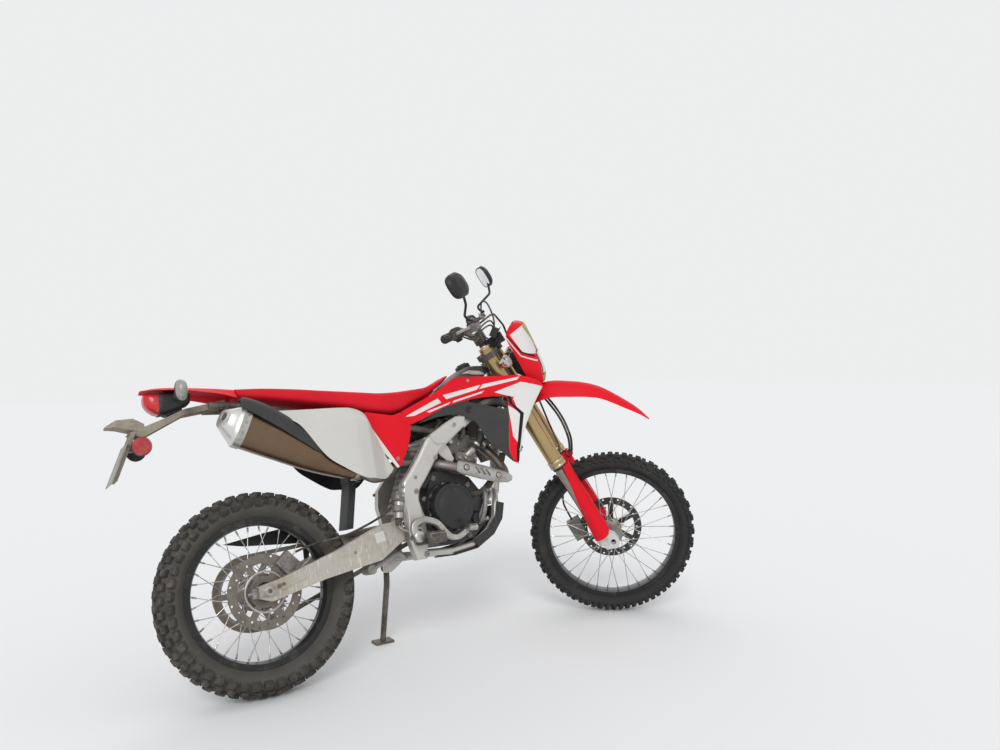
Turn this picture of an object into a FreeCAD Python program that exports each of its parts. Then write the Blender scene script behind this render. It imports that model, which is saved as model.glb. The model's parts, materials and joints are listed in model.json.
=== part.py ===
import FreeCAD, Part
import math
import os

import Sketcher
from FreeCAD import Placement, Rotation, Vector

# A dual sport motorcycle, parked on its side stand with the steering on its right stop.
# The chassis is drawn upright: x forward from the rear axle, y to the left, z up from the road.
# The steered pieces are drawn about the steering axis: x forward of it, y left, z up along it.

doc = FreeCAD.newDocument("dual_sport_motorcycle")
sheet = doc.addObject("Spreadsheet::Sheet", "Sizes")

# Driving sizes in millimetres and degrees: name, value
SIZES = (
    # stance
    ("wheelbase", 1500),
    ("rear_axle_height", 329),
    ("front_axle_height", 346),
    ("rake_angle", 28.5),
    ("fork_offset", 63),
    ("lean_angle", 14),
    ("steer_angle", 43.5),
    # wheels
    ("front_tyre_radius", 346),
    ("front_tyre_width", 86),
    ("front_crown_radius", 45),
    ("front_bead_radius", 267),
    ("front_rim_opening", 259),
    ("front_rim_flange", 279),
    ("front_rim_width", 52),
    ("front_hub_width", 84),
    ("front_hub_radius", 27),
    ("front_flange_radius", 44),
    ("front_disc_radius", 130),
    ("front_disc_place", 60),
    ("front_axle_radius", 11),
    ("front_axle_half", 108),
    ("rear_tyre_radius", 329),
    ("rear_tyre_width", 122),
    ("rear_crown_radius", 66),
    ("rear_bead_radius", 229),
    ("rear_rim_opening", 216),
    ("rear_rim_flange", 242),
    ("rear_rim_width", 68),
    ("rear_hub_width", 104),
    ("rear_hub_radius", 36),
    ("rear_flange_radius", 60),
    ("rear_disc_radius", 120),
    ("rear_disc_place", 74),
    ("rear_axle_radius", 12.5),
    ("rear_axle_half", 130),
    ("front_spoke_gap", 3.9),
    ("rear_spoke_gap", 5.2),
    ("spoke_count", 36),
    ("spoke_width", 3.4),
    ("rim_gap", 0.4),
    ("axle_clearance", 0.1),
    ("axle_bore_radius", 7),
    ("tyre_wall", 9),
    ("disc_thickness", 4),
    # drive
    ("chain_pitch", 15.875),
    ("rear_teeth", 48),
    ("front_teeth", 13),
    ("chain_line", 78),
    ("sprocket_thickness", 6),
    ("chain_height", 14),
    ("chain_plate", 3),
    ("chain_gap", 9),
    ("recess_depth", 16),
    # chassis
    ("pivot_x", 540),
    ("pivot_z", 448),
    ("pivot_radius", 27),
    ("spar_inner", 92),
    ("spar_width", 30),
    ("arm_inner", 90),
    ("arm_width", 33),
    ("head_low", 728),
    ("head_high", 892),
    ("head_radius", 31),
    ("rail_radius", 12),
    ("cradle_radius", 13),
    ("panel_wall", 3),
    ("seat_gap", 0.4),
    ("shroud_tilt", 0.06),
    ("bracket_half", 34),
    ("cross_radius", 13),
    ("stem_radius", 17),
    ("pivot_bolt_radius", 8.8),
    ("header_radius", 19),
    # fork
    ("leg_lead", 36),
    ("leg_spread", 107),
    ("outer_tube_radius", 31),
    ("inner_tube_radius", 24.5),
    ("outer_tube_low", 384),
    ("outer_tube_high", 934),
    ("clamp_low", 700),
    ("clamp_high", 900),
    ("clamp_height", 24),
    ("bar_height", 990),
    ("bar_radius", 11),
    ("grip_radius", 16.5),
    # side stand
    ("stand_x", 505),
    ("stand_y", 92),
    ("stand_z", 340),
    ("stand_foot_x", 528),
    ("stand_foot_y", 262),
    ("stand_radius", 11),
    ("stand_bolt_radius", 6),
    ("foot_length", 74),
    ("foot_width", 46),
    ("foot_thickness", 9),
)

for row, (alias, value) in enumerate(SIZES, 1):
    sheet.set("A%d" % row, alias)
    sheet.set("B%d" % row, str(value))
    sheet.setAlias("B%d" % row, alias)
doc.recompute()


class Size:
    """A number of the sheet, or one worked out from it, with the expression that gives it."""

    def __init__(self, value, text):
        self.value = float(value)
        self.text = text

    def join(self, sign, other, value):
        words = other.text if isinstance(other, Size) else "%.6g" % other
        return Size(value, "(%s %s %s)" % (self.text, sign, words))

    def __add__(self, other):
        return self.join("+", other, self.value + float(other))

    def __sub__(self, other):
        return self.join("-", other, self.value - float(other))

    def __mul__(self, other):
        return self.join("*", other, self.value * float(other))

    def __truediv__(self, other):
        return self.join("/", other, self.value / float(other))

    def __neg__(self):
        return Size(-self.value, "(0 - %s)" % self.text)

    def __float__(self):
        return self.value


class Sheet:
    """The sheet's cells by name."""

    def __getattr__(self, alias):
        return Size(sheet.get(alias), "Sizes." + alias)


S = Sheet()


def mm(alias):
    """A cell as a plain number, for shapes that are worked out here."""
    return float(sheet.get(alias))


# Shapes worked out here

def polygon(points):
    """A closed wire through the points."""
    return Part.makePolygon([Vector(*p) for p in points] + [Vector(*points[0])])


def plate(outline, y_low, y_high, corner=0.0):
    """An outline of x and z, with its upright edges rounded, filled from one y to another."""
    face = Part.Face(polygon([(x, y_low, z) for x, z in outline]))
    solid = face.extrude(Vector(0, y_high - y_low, 0))
    if corner:
        length = y_high - y_low
        edges = [e for e in solid.Edges
                 if abs(e.Length - length) < 1e-6 and abs(e.tangentAt(e.FirstParameter).y) > 0.999]
        solid = solid.makeFillet(corner, edges)
    return solid


def offset_line(points, distance):
    """A line of x and z moved sideways, to the right of its own direction."""
    moved = []
    for i, (x, z) in enumerate(points):
        x0, z0 = points[max(i - 1, 0)]
        x1, z1 = points[min(i + 1, len(points) - 1)]
        length = math.hypot(x1 - x0, z1 - z0)
        turns = []
        for (xa, za), (xb, zb) in zip(points[max(i - 1, 0):i + 1], points[i:i + 2]):
            turns.append(math.atan2(zb - za, xb - xa))
        spread = abs(turns[-1] - turns[0]) / 2 if len(turns) == 2 and i else 0.0
        reach = distance / math.cos(spread)
        moved.append((x + (z1 - z0) / length * reach, z - (x1 - x0) / length * reach))
    return moved


def cylinder(start, end, radius):
    """A round bar from one point to another."""
    start = Vector(*start)
    end = Vector(*end)
    return Part.makeCylinder(radius, (end - start).Length, start, end - start)


def box(low, high):
    """A block between two corners."""
    return Part.makeBox(*[b - a for a, b in zip(low, high)], Vector(*low))


def path_through(points, bend):
    """Straight runs through the points, joined by tangent arcs of one radius or one each."""
    points = [Vector(*p) for p in points]
    bends = bend if isinstance(bend, (list, tuple)) else [bend] * (len(points) - 2)
    edges = []
    start = points[0]
    for before, corner, after, radius in zip(points, points[1:], points[2:], bends):
        back = (before - corner).normalize()
        ahead = (after - corner).normalize()
        half = back.getAngle(ahead) / 2
        reach = radius / math.tan(half)
        first = corner + back * reach
        last = corner + ahead * reach
        middle = corner + (back + ahead).normalize() * (radius / math.sin(half) - radius)
        edges.append(Part.LineSegment(start, first).toShape())
        edges.append(Part.Arc(first, middle, last).toShape())
        start = last
    edges.append(Part.LineSegment(start, points[-1]).toShape())
    return Part.Wire(edges)


def tube(points, radius, bend=40.0):
    """A round tube along straight runs and arcs."""
    points = [tuple(p) for p in points]
    if len(points) == 2:
        return cylinder(points[0], points[1], radius)
    spine = path_through(points, bend)
    start = Vector(*points[0])
    ring = Part.Wire(Part.makeCircle(radius, start, Vector(*points[1]) - start))
    return spine.makePipeShell([ring], True, True)


def loft(wires):
    """A solid with straight lines from each section to the next."""
    return Part.makeLoft(wires, True, True)


def rounded(centre, across, up, half_width, half_height, corner):
    """A rectangle with rounded corners, about a centre and two directions."""
    corner = min(corner, 0.98 * half_width, 0.98 * half_height)
    edges = []
    turn = corner * (1 - math.sqrt(0.5))
    spots = ((1, 1), (-1, 1), (-1, -1), (1, -1))

    def at(a, b):
        return centre + across * a + up * b

    ends = []
    for i, (sx, sy) in enumerate(spots):
        side = at(sx * half_width, sy * (half_height - corner))
        lid = at(sx * (half_width - corner), sy * half_height)
        middle = at(sx * (half_width - turn), sy * (half_height - turn))
        ends.append((side, middle, lid) if i % 2 == 0 else (lid, middle, side))
    for i, (first, middle, last) in enumerate(ends):
        edges.append(Part.Arc(first, middle, last).toShape())
        edges.append(Part.LineSegment(last, ends[(i + 1) % 4][0]).toShape())
    return Part.Wire(edges)


def across_body(x, half_width, z_low, z_high, corner):
    """A rounded section that stands across the body at one x."""
    middle = Vector(x, 0, (z_low + z_high) / 2)
    return rounded(middle, Vector(0, 1, 0), Vector(0, 0, 1), half_width,
                   (z_high - z_low) / 2, corner)


def fused(shapes):
    """One solid out of several that meet."""
    shapes = list(shapes)
    whole = shapes[0].multiFuse(shapes[1:]).removeSplitter()
    return whole.Solids[0] if len(whole.Solids) == 1 else whole


def mirrored(shape):
    """The piece of the other side."""
    return shape.mirror(Vector(0, 0, 0), Vector(0, 1, 0))


def both(shape):
    """A piece and its mirror image, which don't touch."""
    return Part.makeCompound([shape, mirrored(shape)])


def panel(outline, plan, tilt, wall, fold=None):
    """A bent sheet: a slab that follows a plan of x and y, cut to an outline of x and z.

    The slab leans inwards by the tilt, a share of its height above the outline's lowest point.
    A fold is a height and the tilt above it.
    """
    z_low = min(z for _, z in outline) - 10
    z_high = max(z for _, z in outline) + 10
    side = math.copysign(1, plan[0][1])
    stages = [(z_low, z_high, tilt)]
    if fold:
        stages = [(z_low, fold[0], tilt), (fold[0], z_high, fold[1])]
    slabs = []
    moved = 0.0
    for start, stop, lean in stages:
        outer = [(x, y - side * moved, start) for x, y in plan]
        inner = [(x, y - side * (moved + wall), start) for x, y in reversed(plan)]
        moved += lean * (stop - start)
        slabs.append(Part.Face(polygon(outer + inner)).extrude(
            Vector(0, -side * lean * (stop - start), stop - start)))
    slab = fused(slabs) if fold else slabs[0]
    y_far = max(abs(y) for _, y in plan) + 60
    block = plate(outline, -y_far, 0) if side < 0 else plate(outline, 0, y_far)
    return slab.common(block)


def panel_y(plan, outline_, tilt, x, z):
    """The outer face of such a panel at one x and z."""
    for (x0, y0), (x1, y1) in zip(plan, plan[1:]):
        if x0 <= x <= x1:
            y = y0 + (y1 - y0) * (x - x0) / (x1 - x0)
            rise = z - min(z_ for _, z_ in outline_) + 10
            return y - math.copysign(tilt * rise, y)
    raise ValueError("the plan ends before x = %s" % x)


def gutter(stations, wall):
    """A mudguard: arched sections along a path of x and z, each across the path.

    Columns: x, z, half width, drop of the edges.
    """
    wires = []
    for i, (x, z, half, drop) in enumerate(stations):
        x0, z0 = stations[max(i - 1, 0)][:2]
        x1, z1 = stations[min(i + 1, len(stations) - 1)][:2]
        length = math.hypot(x1 - x0, z1 - z0)
        normal = Vector((z1 - z0) / length, 0, -(x1 - x0) / length)
        if normal.z < 0:
            normal = -normal
        crown = Vector(x, 0, z)
        shares = ((-1, 1), (-0.9, 0.42), (-0.55, 0.08), (0, 0), (0.55, 0.08), (0.9, 0.42), (1, 1))
        outer = [crown + Vector(0, half * a, 0) - normal * (drop * b) for a, b in shares]
        slim = half - wall
        inner = [crown + Vector(0, slim * a, 0) - normal * (drop * b + wall * (1 - abs(a) ** 3))
                 for a, b in reversed(shares)]
        wires.append(polygon([tuple(v) for v in outer + inner]))
    return loft(wires)


# Pieces as document objects

def chassis_pose():
    """The lean, and the small pitch and lift that put both tyres on the road."""
    lean = Rotation(Vector(1, 0, 0), -mm("lean_angle"))
    low, high = -3.0, 3.0
    while high - low > 1e-9:
        middle = (low + high) / 2
        turn = lean.multiply(Rotation(Vector(0, 1, 0), middle))
        if lowest("front", turn) > lowest("rear", turn):
            low = middle
        else:
            high = middle
    turn = lean.multiply(Rotation(Vector(0, 1, 0), (low + high) / 2))
    return Placement(Vector(0, 0, -lowest("rear", turn)), turn)


def fork_frame():
    """The steering axis with its foot level with the front axle, upright and straight ahead."""
    rake = math.radians(mm("rake_angle"))
    lead = Vector(math.cos(rake), 0, math.sin(rake))
    foot = Vector(mm("wheelbase"), 0, mm("front_axle_height")) - lead * mm("fork_offset")
    return Placement(foot, Rotation(Vector(0, 1, 0), -mm("rake_angle")))


def fork_pose():
    """The steering frame turned onto its right stop."""
    turn = Placement(Vector(0, 0, 0), Rotation(Vector(0, 0, 1), -mm("steer_angle")))
    return fork_frame().multiply(turn)


def wheel_pose(end):
    """A wheel's own frame, with y along its axle."""
    if end == "rear":
        return Placement(Vector(0, 0, mm("rear_axle_height")), Rotation())
    return fork_pose().multiply(Placement(Vector(mm("fork_offset"), 0, 0), Rotation()))


def lowest(end, turn):
    """The lowest point of a tyre with a round crown, before the bike is lifted."""
    pose = wheel_pose(end)
    centre = turn.multVec(pose.Base)
    axle = turn.multVec(pose.Rotation.multVec(Vector(0, 1, 0)))
    drop = mm(end + "_crown_radius") / 2
    crown = ((mm(end + "_tyre_width") / 2) ** 2 + drop ** 2) / (2 * drop)
    return centre.z - (mm(end + "_tyre_radius") - crown) * math.sqrt(1 - axle.z ** 2) - crown


PARKED = chassis_pose()
CHASSIS = PARKED
FORK = PARKED.multiply(fork_pose())
FRONT_WHEEL = PARKED.multiply(wheel_pose("front"))
REAR_WHEEL = PARKED.multiply(wheel_pose("rear"))

nodes = []


def keep(thing, pose):
    """Put a finished sub-part in its place on the parked bike."""
    thing.Placement = pose.multiply(thing.Placement)
    nodes.append(thing)
    return thing


def feature(label, shape, pose):
    """A sub-part whose shape is worked out here."""
    thing = doc.addObject("Part::Feature", label)
    thing.Label = label
    thing.Shape = shape
    return keep(thing, pose)


def sketch_on(body, role, name):
    """A sketch on one of the body's own planes."""
    sketch = body.newObject("Sketcher::SketchObject", name)
    plane = [f for f in body.Origin.OriginFeatures if f.Role == role][0]
    sketch.AttachmentSupport = [(plane, "")]
    sketch.MapMode = "FlatFace"
    return sketch


def pin_down(sketch, geometry, end, across, up):
    """Hold a point of the sketch at a distance across and up from the origin."""
    for kind, place, axis in (("DistanceX", across, -2), ("DistanceY", up, -1)):
        value = float(place)
        if not isinstance(place, Size) and value == 0:
            sketch.addConstraint(Sketcher.Constraint("PointOnObject", geometry, end, axis))
            continue
        text = place.text if isinstance(place, Size) else "%.6g" % value
        if value >= 0:
            index = sketch.addConstraint(Sketcher.Constraint(kind, -1, 1, geometry, end, value))
        else:
            index = sketch.addConstraint(Sketcher.Constraint(kind, geometry, end, -1, 1, -value))
            text = "0 - %s" % text
        sketch.setExpression("Constraints[%d]" % index, text)


def outline(sketch, points):
    """A closed outline through the points: a point with two more numbers starts an arc via them."""
    count = len(points)
    arcs = []
    for i, point in enumerate(points):
        start = Vector(float(point[0]), float(point[1]), 0)
        ahead = points[(i + 1) % count]
        end = Vector(float(ahead[0]), float(ahead[1]), 0)
        if len(point) == 4:
            middle = Vector(float(point[2]), float(point[3]), 0)
            arc = Part.Arc(start, middle, end)
            index = sketch.addGeometry(arc, False)
            leftward = (middle - start).cross(end - middle).z > 0
            arcs.append((index, point[2], point[3], middle))
            sides = (1, 2) if leftward else (2, 1)
        else:
            index = sketch.addGeometry(Part.LineSegment(start, end), False)
            sides = (1, 2)
        points[i] = tuple(point) + (sides,)
    for i in range(count):
        sketch.addConstraint(Sketcher.Constraint("Coincident", i, points[i][-1][1],
                                                 (i + 1) % count, points[(i + 1) % count][-1][0]))
    for i in range(count):
        pin_down(sketch, i, points[i][-1][0], points[i][0], points[i][1])
    for index, across, up, middle in arcs:
        spot = sketch.addGeometry(Part.Point(middle), True)
        pin_down(sketch, spot, 1, across, up)
        sketch.addConstraint(Sketcher.Constraint("PointOnObject", spot, 1, index))


def new_body(label):
    """An empty body with its label."""
    body = doc.addObject("PartDesign::Body", label)
    body.Label = label
    return body


def turned(body, points, name="Profile"):
    """The outline turned about the body's y axis."""
    sketch = sketch_on(body, "XY_Plane", name)
    outline(sketch, points)
    solid = body.newObject("PartDesign::Revolution", name + "Turned")
    solid.Profile = sketch
    solid.ReferenceAxis = (sketch, ["V_Axis"])
    solid.Angle = 360
    return solid


# Wheels

def tyre(end, pose):
    """A hollow tyre: a round crown, flat sidewalls and beads that sit on the rim."""
    radius = getattr(S, end + "_tyre_radius")
    crown = getattr(S, end + "_crown_radius")
    bead = getattr(S, end + "_bead_radius")
    rim = getattr(S, end + "_rim_width")
    shoulder = radius - crown * 0.5
    half = getattr(S, end + "_tyre_width") / 2
    outer = rim / 2 - 3
    inner = outer - S.tyre_wall
    lip = getattr(S, end + "_rim_flange") + 1
    body = new_body(end + "_tyre")
    turned(body, [
        (bead, -outer),
        (lip, -outer),
        (shoulder, -half, radius, 0),
        (shoulder, half),
        (lip, outer),
        (bead, outer),
        (bead, inner),
        (shoulder, half - S.tyre_wall, radius - S.tyre_wall * 2, 0),
        (shoulder, -(half - S.tyre_wall)),
        (bead, -inner),
    ])
    return keep(body, pose)


def rim(end, pose):
    """A dropped-centre rim with two flanges that hold the tyre's beads."""
    bead = getattr(S, end + "_bead_radius") - S.rim_gap
    well = getattr(S, end + "_rim_opening")
    flange = getattr(S, end + "_rim_flange")
    half = getattr(S, end + "_rim_width") / 2
    body = new_body(end + "_rim")
    turned(body, [
        (well, -(half * 0.36)),
        (bead - 6, -half),
        (flange, -half),
        (flange, -(half - 2.6)),
        (bead, -(half - 2.6)),
        (bead, -(half * 0.62)),
        (well + 5, -(half * 0.3)),
        (well + 5, half * 0.3),
        (bead, half * 0.62),
        (bead, half - 2.6),
        (flange, half - 2.6),
        (flange, half),
        (bead - 6, half),
        (well, half * 0.36),
    ])
    return keep(body, pose)


def hub(end, pose):
    """A hub with two spoke flanges and a bore for the axle."""
    half = getattr(S, end + "_hub_width") / 2
    barrel = getattr(S, end + "_hub_radius")
    flange = getattr(S, end + "_flange_radius")
    bore = getattr(S, end + "_axle_radius") + S.axle_clearance
    body = new_body(end + "_hub")
    turned(body, [
        (bore, -half),
        (barrel, -half),
        (barrel, -(half * 0.84)),
        (flange, -(half * 0.84)),
        (flange, -(half * 0.84 - 5)),
        (barrel, -(half * 0.55), barrel * 0.9, 0),
        (barrel, half * 0.55),
        (flange, half * 0.84 - 5),
        (flange, half * 0.84),
        (barrel, half * 0.84),
        (barrel, half),
        (bore, half),
    ])
    return keep(body, pose)


def spokes(end, pose):
    """Square-drawn wire spokes, laced to lean both ways from both flanges, clear of each other."""
    count = int(mm("spoke_count"))
    wire = mm("spoke_width")
    half = mm(end + "_hub_width") / 2 * 0.84
    flange = mm(end + "_flange_radius")
    reach = mm(end + "_rim_opening") - mm("rim_gap") - wire * 0.15
    lean = math.radians(52)
    solids = []
    for i in range(count):
        side = 1 if i % 2 else -1
        way = 1 if (i // 2) % 2 else -1
        at_rim = 2 * math.pi * (i + 0.5) / count
        at_hub = at_rim + way * lean
        face = half + mm(end + "_spoke_gap") if way > 0 else half - 12
        start = Vector((flange - 5) * math.cos(at_hub), side * face, (flange - 5) * math.sin(at_hub))
        end_y = side * (9 if way > 0 else 3)
        stop = Vector(reach * math.cos(at_rim), end_y, reach * math.sin(at_rim))
        solids.append(square_bar(start, stop, wire))
    return feature(end + "_spokes", Part.makeCompound(solids), pose)


def square_bar(start, stop, width):
    """A thin square bar."""
    along = stop - start
    side = along.cross(Vector(0, 1, 0)).normalize() * (width / 2)
    up = along.cross(side).normalize() * (width / 2)
    corners = [start + side + up, start - side + up, start - side - up, start + side - up]
    return Part.Face(polygon([tuple(c) for c in corners])).extrude(along)


def disc(end, pose, side):
    """A brake disc with a scalloped carrier and rows of holes."""
    radius = mm(end + "_disc_radius")
    inner = mm(end + "_hub_radius")
    flat = mm(end + "_disc_place")
    thick = mm("disc_thickness")
    y_low = side * flat - thick / 2
    band = Part.makeCylinder(radius, thick, Vector(0, y_low, 0), Vector(0, 1, 0)).cut(
        Part.makeCylinder(radius - 30, thick, Vector(0, y_low, 0), Vector(0, 1, 0)))
    carrier_out = mm(end + "_hub_width") / 2
    ring_out = Part.makeCylinder(inner + 14, thick, Vector(0, y_low, 0), Vector(0, 1, 0))
    arms = []
    count = 6
    for i in range(count):
        turn = 360.0 * i / count
        arm = box((inner, y_low, -11), (radius - 27, y_low + thick, 11))
        arm.rotate(Vector(0, 0, 0), Vector(0, 1, 0), turn)
        arms.append(arm)
    boss = Part.makeCylinder(inner + 14, abs(flat - carrier_out), Vector(0, side * carrier_out, 0),
                             Vector(0, side, 0))
    bore = Part.makeCylinder(mm(end + "_hub_radius") - 6, 4 * flat, Vector(0, -2 * flat, 0),
                             Vector(0, 1, 0))
    holes = []
    for i in range(24):
        angle = 2 * math.pi * i / 24
        reach = radius - (8 if i % 2 else 20)
        holes.append(Part.makeCylinder(4, thick * 3, Vector(reach * math.cos(angle), y_low - thick,
                                                            reach * math.sin(angle)), Vector(0, 1, 0)))
    plate_disc = fused([band, ring_out, boss] + arms).cut(bore).cut(Part.makeCompound(holes))
    return feature(end + "_disc", plate_disc, pose)


def spindle(end, pose):
    """A hollow axle."""
    length = getattr(S, end + "_axle_half") * 2
    bar = doc.addObject("Part::Cylinder", end + "_axle_bar")
    bar.setExpression("Radius", getattr(S, end + "_axle_radius").text)
    bar.setExpression("Height", length.text)
    hole = doc.addObject("Part::Cylinder", end + "_axle_hole")
    hole.setExpression("Radius", S.axle_bore_radius.text)
    hole.setExpression("Height", length.text)
    axle = doc.addObject("Part::Cut", end + "_axle")
    axle.Base = bar
    axle.Tool = hole
    axle.Label = end + "_axle"
    doc.recompute()
    axle.Placement = Placement(Vector(0, -float(length) / 2, 0), Rotation(Vector(1, 0, 0), -90))
    return keep(axle, pose)


def sprocket(pose):
    """The rear sprocket: a toothed ring on arms, bolted to the hub's left face."""
    teeth = int(mm("rear_teeth"))
    pitch = mm("chain_pitch") / 2 / math.sin(math.pi / teeth)
    thick = mm("sprocket_thickness")
    y_low = mm("chain_line") - thick / 2
    hub_face = mm("rear_hub_width") / 2
    inner = mm("rear_hub_radius")
    axis = Vector(0, 1, 0)
    teeth_outline = []
    for i in range(teeth):
        for share, height in ((-0.28, -4.5), (-0.12, 3.6), (0.12, 3.6), (0.28, -4.5)):
            angle = 2 * math.pi * (i + share) / teeth
            teeth_outline.append(((pitch + height) * math.cos(angle), (pitch + height) * math.sin(angle)))
    ring_outer = plate(teeth_outline, y_low, y_low + thick)
    window = Part.makeCylinder(pitch - 20, thick, Vector(0, y_low, 0), axis)
    toothed = ring_outer.cut(window)
    centre = Part.makeCylinder(inner + 14, thick, Vector(0, y_low, 0), axis)
    boss = Part.makeCylinder(inner + 14, y_low - hub_face, Vector(0, hub_face, 0), axis)
    arms = []
    for i in range(6):
        arm = box((inner, y_low, -10), (pitch - 17, y_low + thick, 10))
        arm.rotate(Vector(0, 0, 0), axis, 60.0 * i)
        arms.append(arm)
    bore = Part.makeCylinder(inner - 6, 4 * y_low, Vector(0, -2 * y_low, 0), axis)
    return feature("rear_sprocket", fused([toothed, centre, boss] + arms).cut(bore), pose)


# Chassis

# Outlines are x, z
SPAR = ((782, 806), (741, 776), (672, 727), (634, 673), (600, 628), (569, 590), (560, 556), (578, 500),
        (578, 420), (568, 350), (528, 350), (508, 420), (508, 500), (499, 563), (507, 623), (531, 651),
        (576, 706), (624, 775), (651, 794), (721, 834), (764, 854), (806, 854))
ARM = ((-34, 311), (-34, 347), (38, 362), (238, 425), (410, 490), (488, 497), (488, 428), (395, 370),
       (190, 338), (8, 296))
RAIL = ((548, 374), (700, 364), (796, 376), (870, 415), (912, 463), (932, 530))
CASES = ((582, 470), (600, 400), (690, 386), (786, 398), (850, 452), (846, 560), (800, 625), (700, 655),
         (642, 655), (624, 600), (612, 520))
AIRBOX = ((285, 760), (292, 898), (403, 888), (505, 872), (600, 872), (600, 815), (520, 800), (482, 745),
          (430, 705), (330, 705))
SIDE_COVER = ((388, 853), (402, 891), (505, 872), (549, 881), (572, 830), (556, 770), (524, 712),
              (496, 679), (435, 762))
SIDE_COVER_PLAN = ((380, -122), (500, -130), (580, -122))
SHROUD = ((553, 888), (618, 916), (681, 944), (740, 977), (760, 1007), (845, 1008), (949, 1002),
          (1057, 997), (1165, 953), (1133, 925), (1081, 857), (1034, 778), (1001, 695), (984, 650),
          (972, 656), (956, 700), (969, 775), (985, 866), (988, 914), (902, 922), (797, 910),
          (714, 889), (652, 861), (576, 834))
SHROUD_PLAN = ((540, -116), (700, -132), (860, -150), (970, -172), (1070, -196), (1130, -200), (1180, -188))
LOUVRE = ((610, 838), (671, 868), (714, 893), (787, 913), (844, 903), (961, 868), (1000, 880), (985, 800),
          (972, 740), (972, 700), (984, 650), (964, 660), (922, 706), (884, 742), (868, 776), (858, 805),
          (842, 828), (767, 861), (699, 858))
REAR_PANEL = ((70, 900), (96, 903), (340, 905), (386, 884), (386, 854), (433, 762), (478, 678),
              (438, 645), (404, 643), (330, 652), (264, 690), (205, 735), (142, 828))
REAR_PANEL_PLAN = ((60, -224), (200, -219), (330, -213), (380, -197), (440, -150), (490, -134))
LEFT_PANEL_PLAN = ((60, 112), (200, 124), (330, 132), (490, 134))
FLAP = ((345, 660), (371, 660), (339, 492), (313, 492))
BRACKET = ((-62, 971), (-67, 948), (-193, 928), (-326, 859), (-366, 876), (-251, 920), (-193, 946))
NUMBER_PLATE = ((-377, 842), (-373, 843), (-425, 719), (-429, 718))
CHAIN_GUARD = ((-78, 500), (60, 522), (128, 530), (180, 514), (222, 462), (214, 418.4), (196, 412.8),
               (196, 470), (120, 476), (-11, 486))


def head_point(height, lead=0.0):
    """A point of the steering axis, in chassis coordinates."""
    return fork_frame().multVec(Vector(lead, 0, height))


def main_frame():
    """Twin spars that run in to the head pipe, a down tube and two rails under the engine."""
    inner = mm("spar_inner")
    outer = inner + mm("spar_width")
    right = plate(SPAR, -outer, -inner, 4)
    ends = ((790, (inner + outer) / 2, 833, 15, 26), (905, 74, 915, 15, 38), (1044, 20, 1004, 13, 44))
    wires = []
    for x, y, z, half_width, half_height in ends:
        wires.append(rounded(Vector(x, -y, z), Vector(0.25, 0.968, 0), Vector(-0.35, 0, 0.937),
                             half_width, half_height, 6))
    upper = loft(wires)
    low = head_point(mm("head_low"))
    high = head_point(mm("head_high"))
    pipe = cylinder(low, high, mm("head_radius"))
    throat = head_point(mm("head_low") + 34)
    down = tube([(throat.x - 30, 0, throat.z), (982, 0, 655), (956, 0, 560)], mm("cradle_radius") + 9, 120)
    rails = []
    spreads = (70, 66, 64, 62, 56, 44)
    for side in (-1, 1):
        points = [(x, side * y, z) for (x, z), y in zip(RAIL, spreads)] + [(960, 0, 580)]
        rails.append(tube(points, mm("cradle_radius"), (60, 60, 50, 60, 50)))
    pieces = [right, upper, mirrored(right), mirrored(upper), pipe, down] + rails
    low_x, low_z = LOW_CROSS
    high_x, high_z = HIGH_CROSS
    cross = [cylinder((low_x, -inner - 4, low_z), (low_x, inner + 4, low_z), mm("cross_radius")),
             cylinder((high_x, -inner - 4, high_z), (high_x, inner + 4, high_z), mm("cross_radius"))]
    reach = outer + 8
    bolt = cylinder((mm("pivot_x"), -reach, mm("pivot_z")), (mm("pivot_x"), reach, mm("pivot_z")),
                    mm("pivot_bolt_radius"))
    stem = cylinder(head_point(mm("head_low") - 1), head_point(mm("head_high") + 1),
                    mm("stem_radius") + mm("axle_clearance"))
    return feature("main_frame", fused(pieces + cross + [bolt] + stand_lug()).cut(stem), CHASSIS)


LOW_CROSS = (550, 366)
HIGH_CROSS = (640, 774)
FRONT_SPROCKET = (618, 458)
INTAKE = ((672, 0, 806), (712, 0, 768.5))


def stand_lug():
    """The tongue under the left spar and the bolt that the side stand turns on."""
    pivot = Vector(mm("stand_x"), mm("stand_y"), mm("stand_z"))
    tongue = plate(((486, 322), (486, 348), (500, 360), (536, 379), (562, 379), (562, 352), (530, 330),
                    (512, 320)), pivot.y - 17, pivot.y - 6)
    bolt = Part.makeCylinder(mm("stand_bolt_radius"), 40, pivot - Vector(0, 14, 0), Vector(0, 1, 0))
    return [tongue, bolt]


def subframe():
    """The seat rails and the braces under them."""
    radius = mm("rail_radius")
    bars = []
    seat_y = mm("spar_inner") - radius - mm("seat_gap")
    tail_y = mm("bracket_half") + radius + mm("seat_gap")
    for side in (-1, 1):
        bars.append(tube([(690, side * seat_y, 806), (600, side * seat_y, 826), (470, side * 74, 852),
                          (380, side * 72, 868), (40, side * 66, 930), (-40, side * tail_y, 948),
                          (-120, side * tail_y, 950)], radius, (80, 200, 200, 200, 90, 90)))
        bars.append(tube([(612, side * (seat_y - 0.2), 744), (520, side * 77, 752), (330, side * 72, 815),
                          (70, side * 66, 918)], radius - 2, (90, 90, 200)))
    bars.append(cylinder((20, -66, 933), (20, 66, 933), radius - 2))
    return feature("subframe", fused(bars), CHASSIS)


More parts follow.
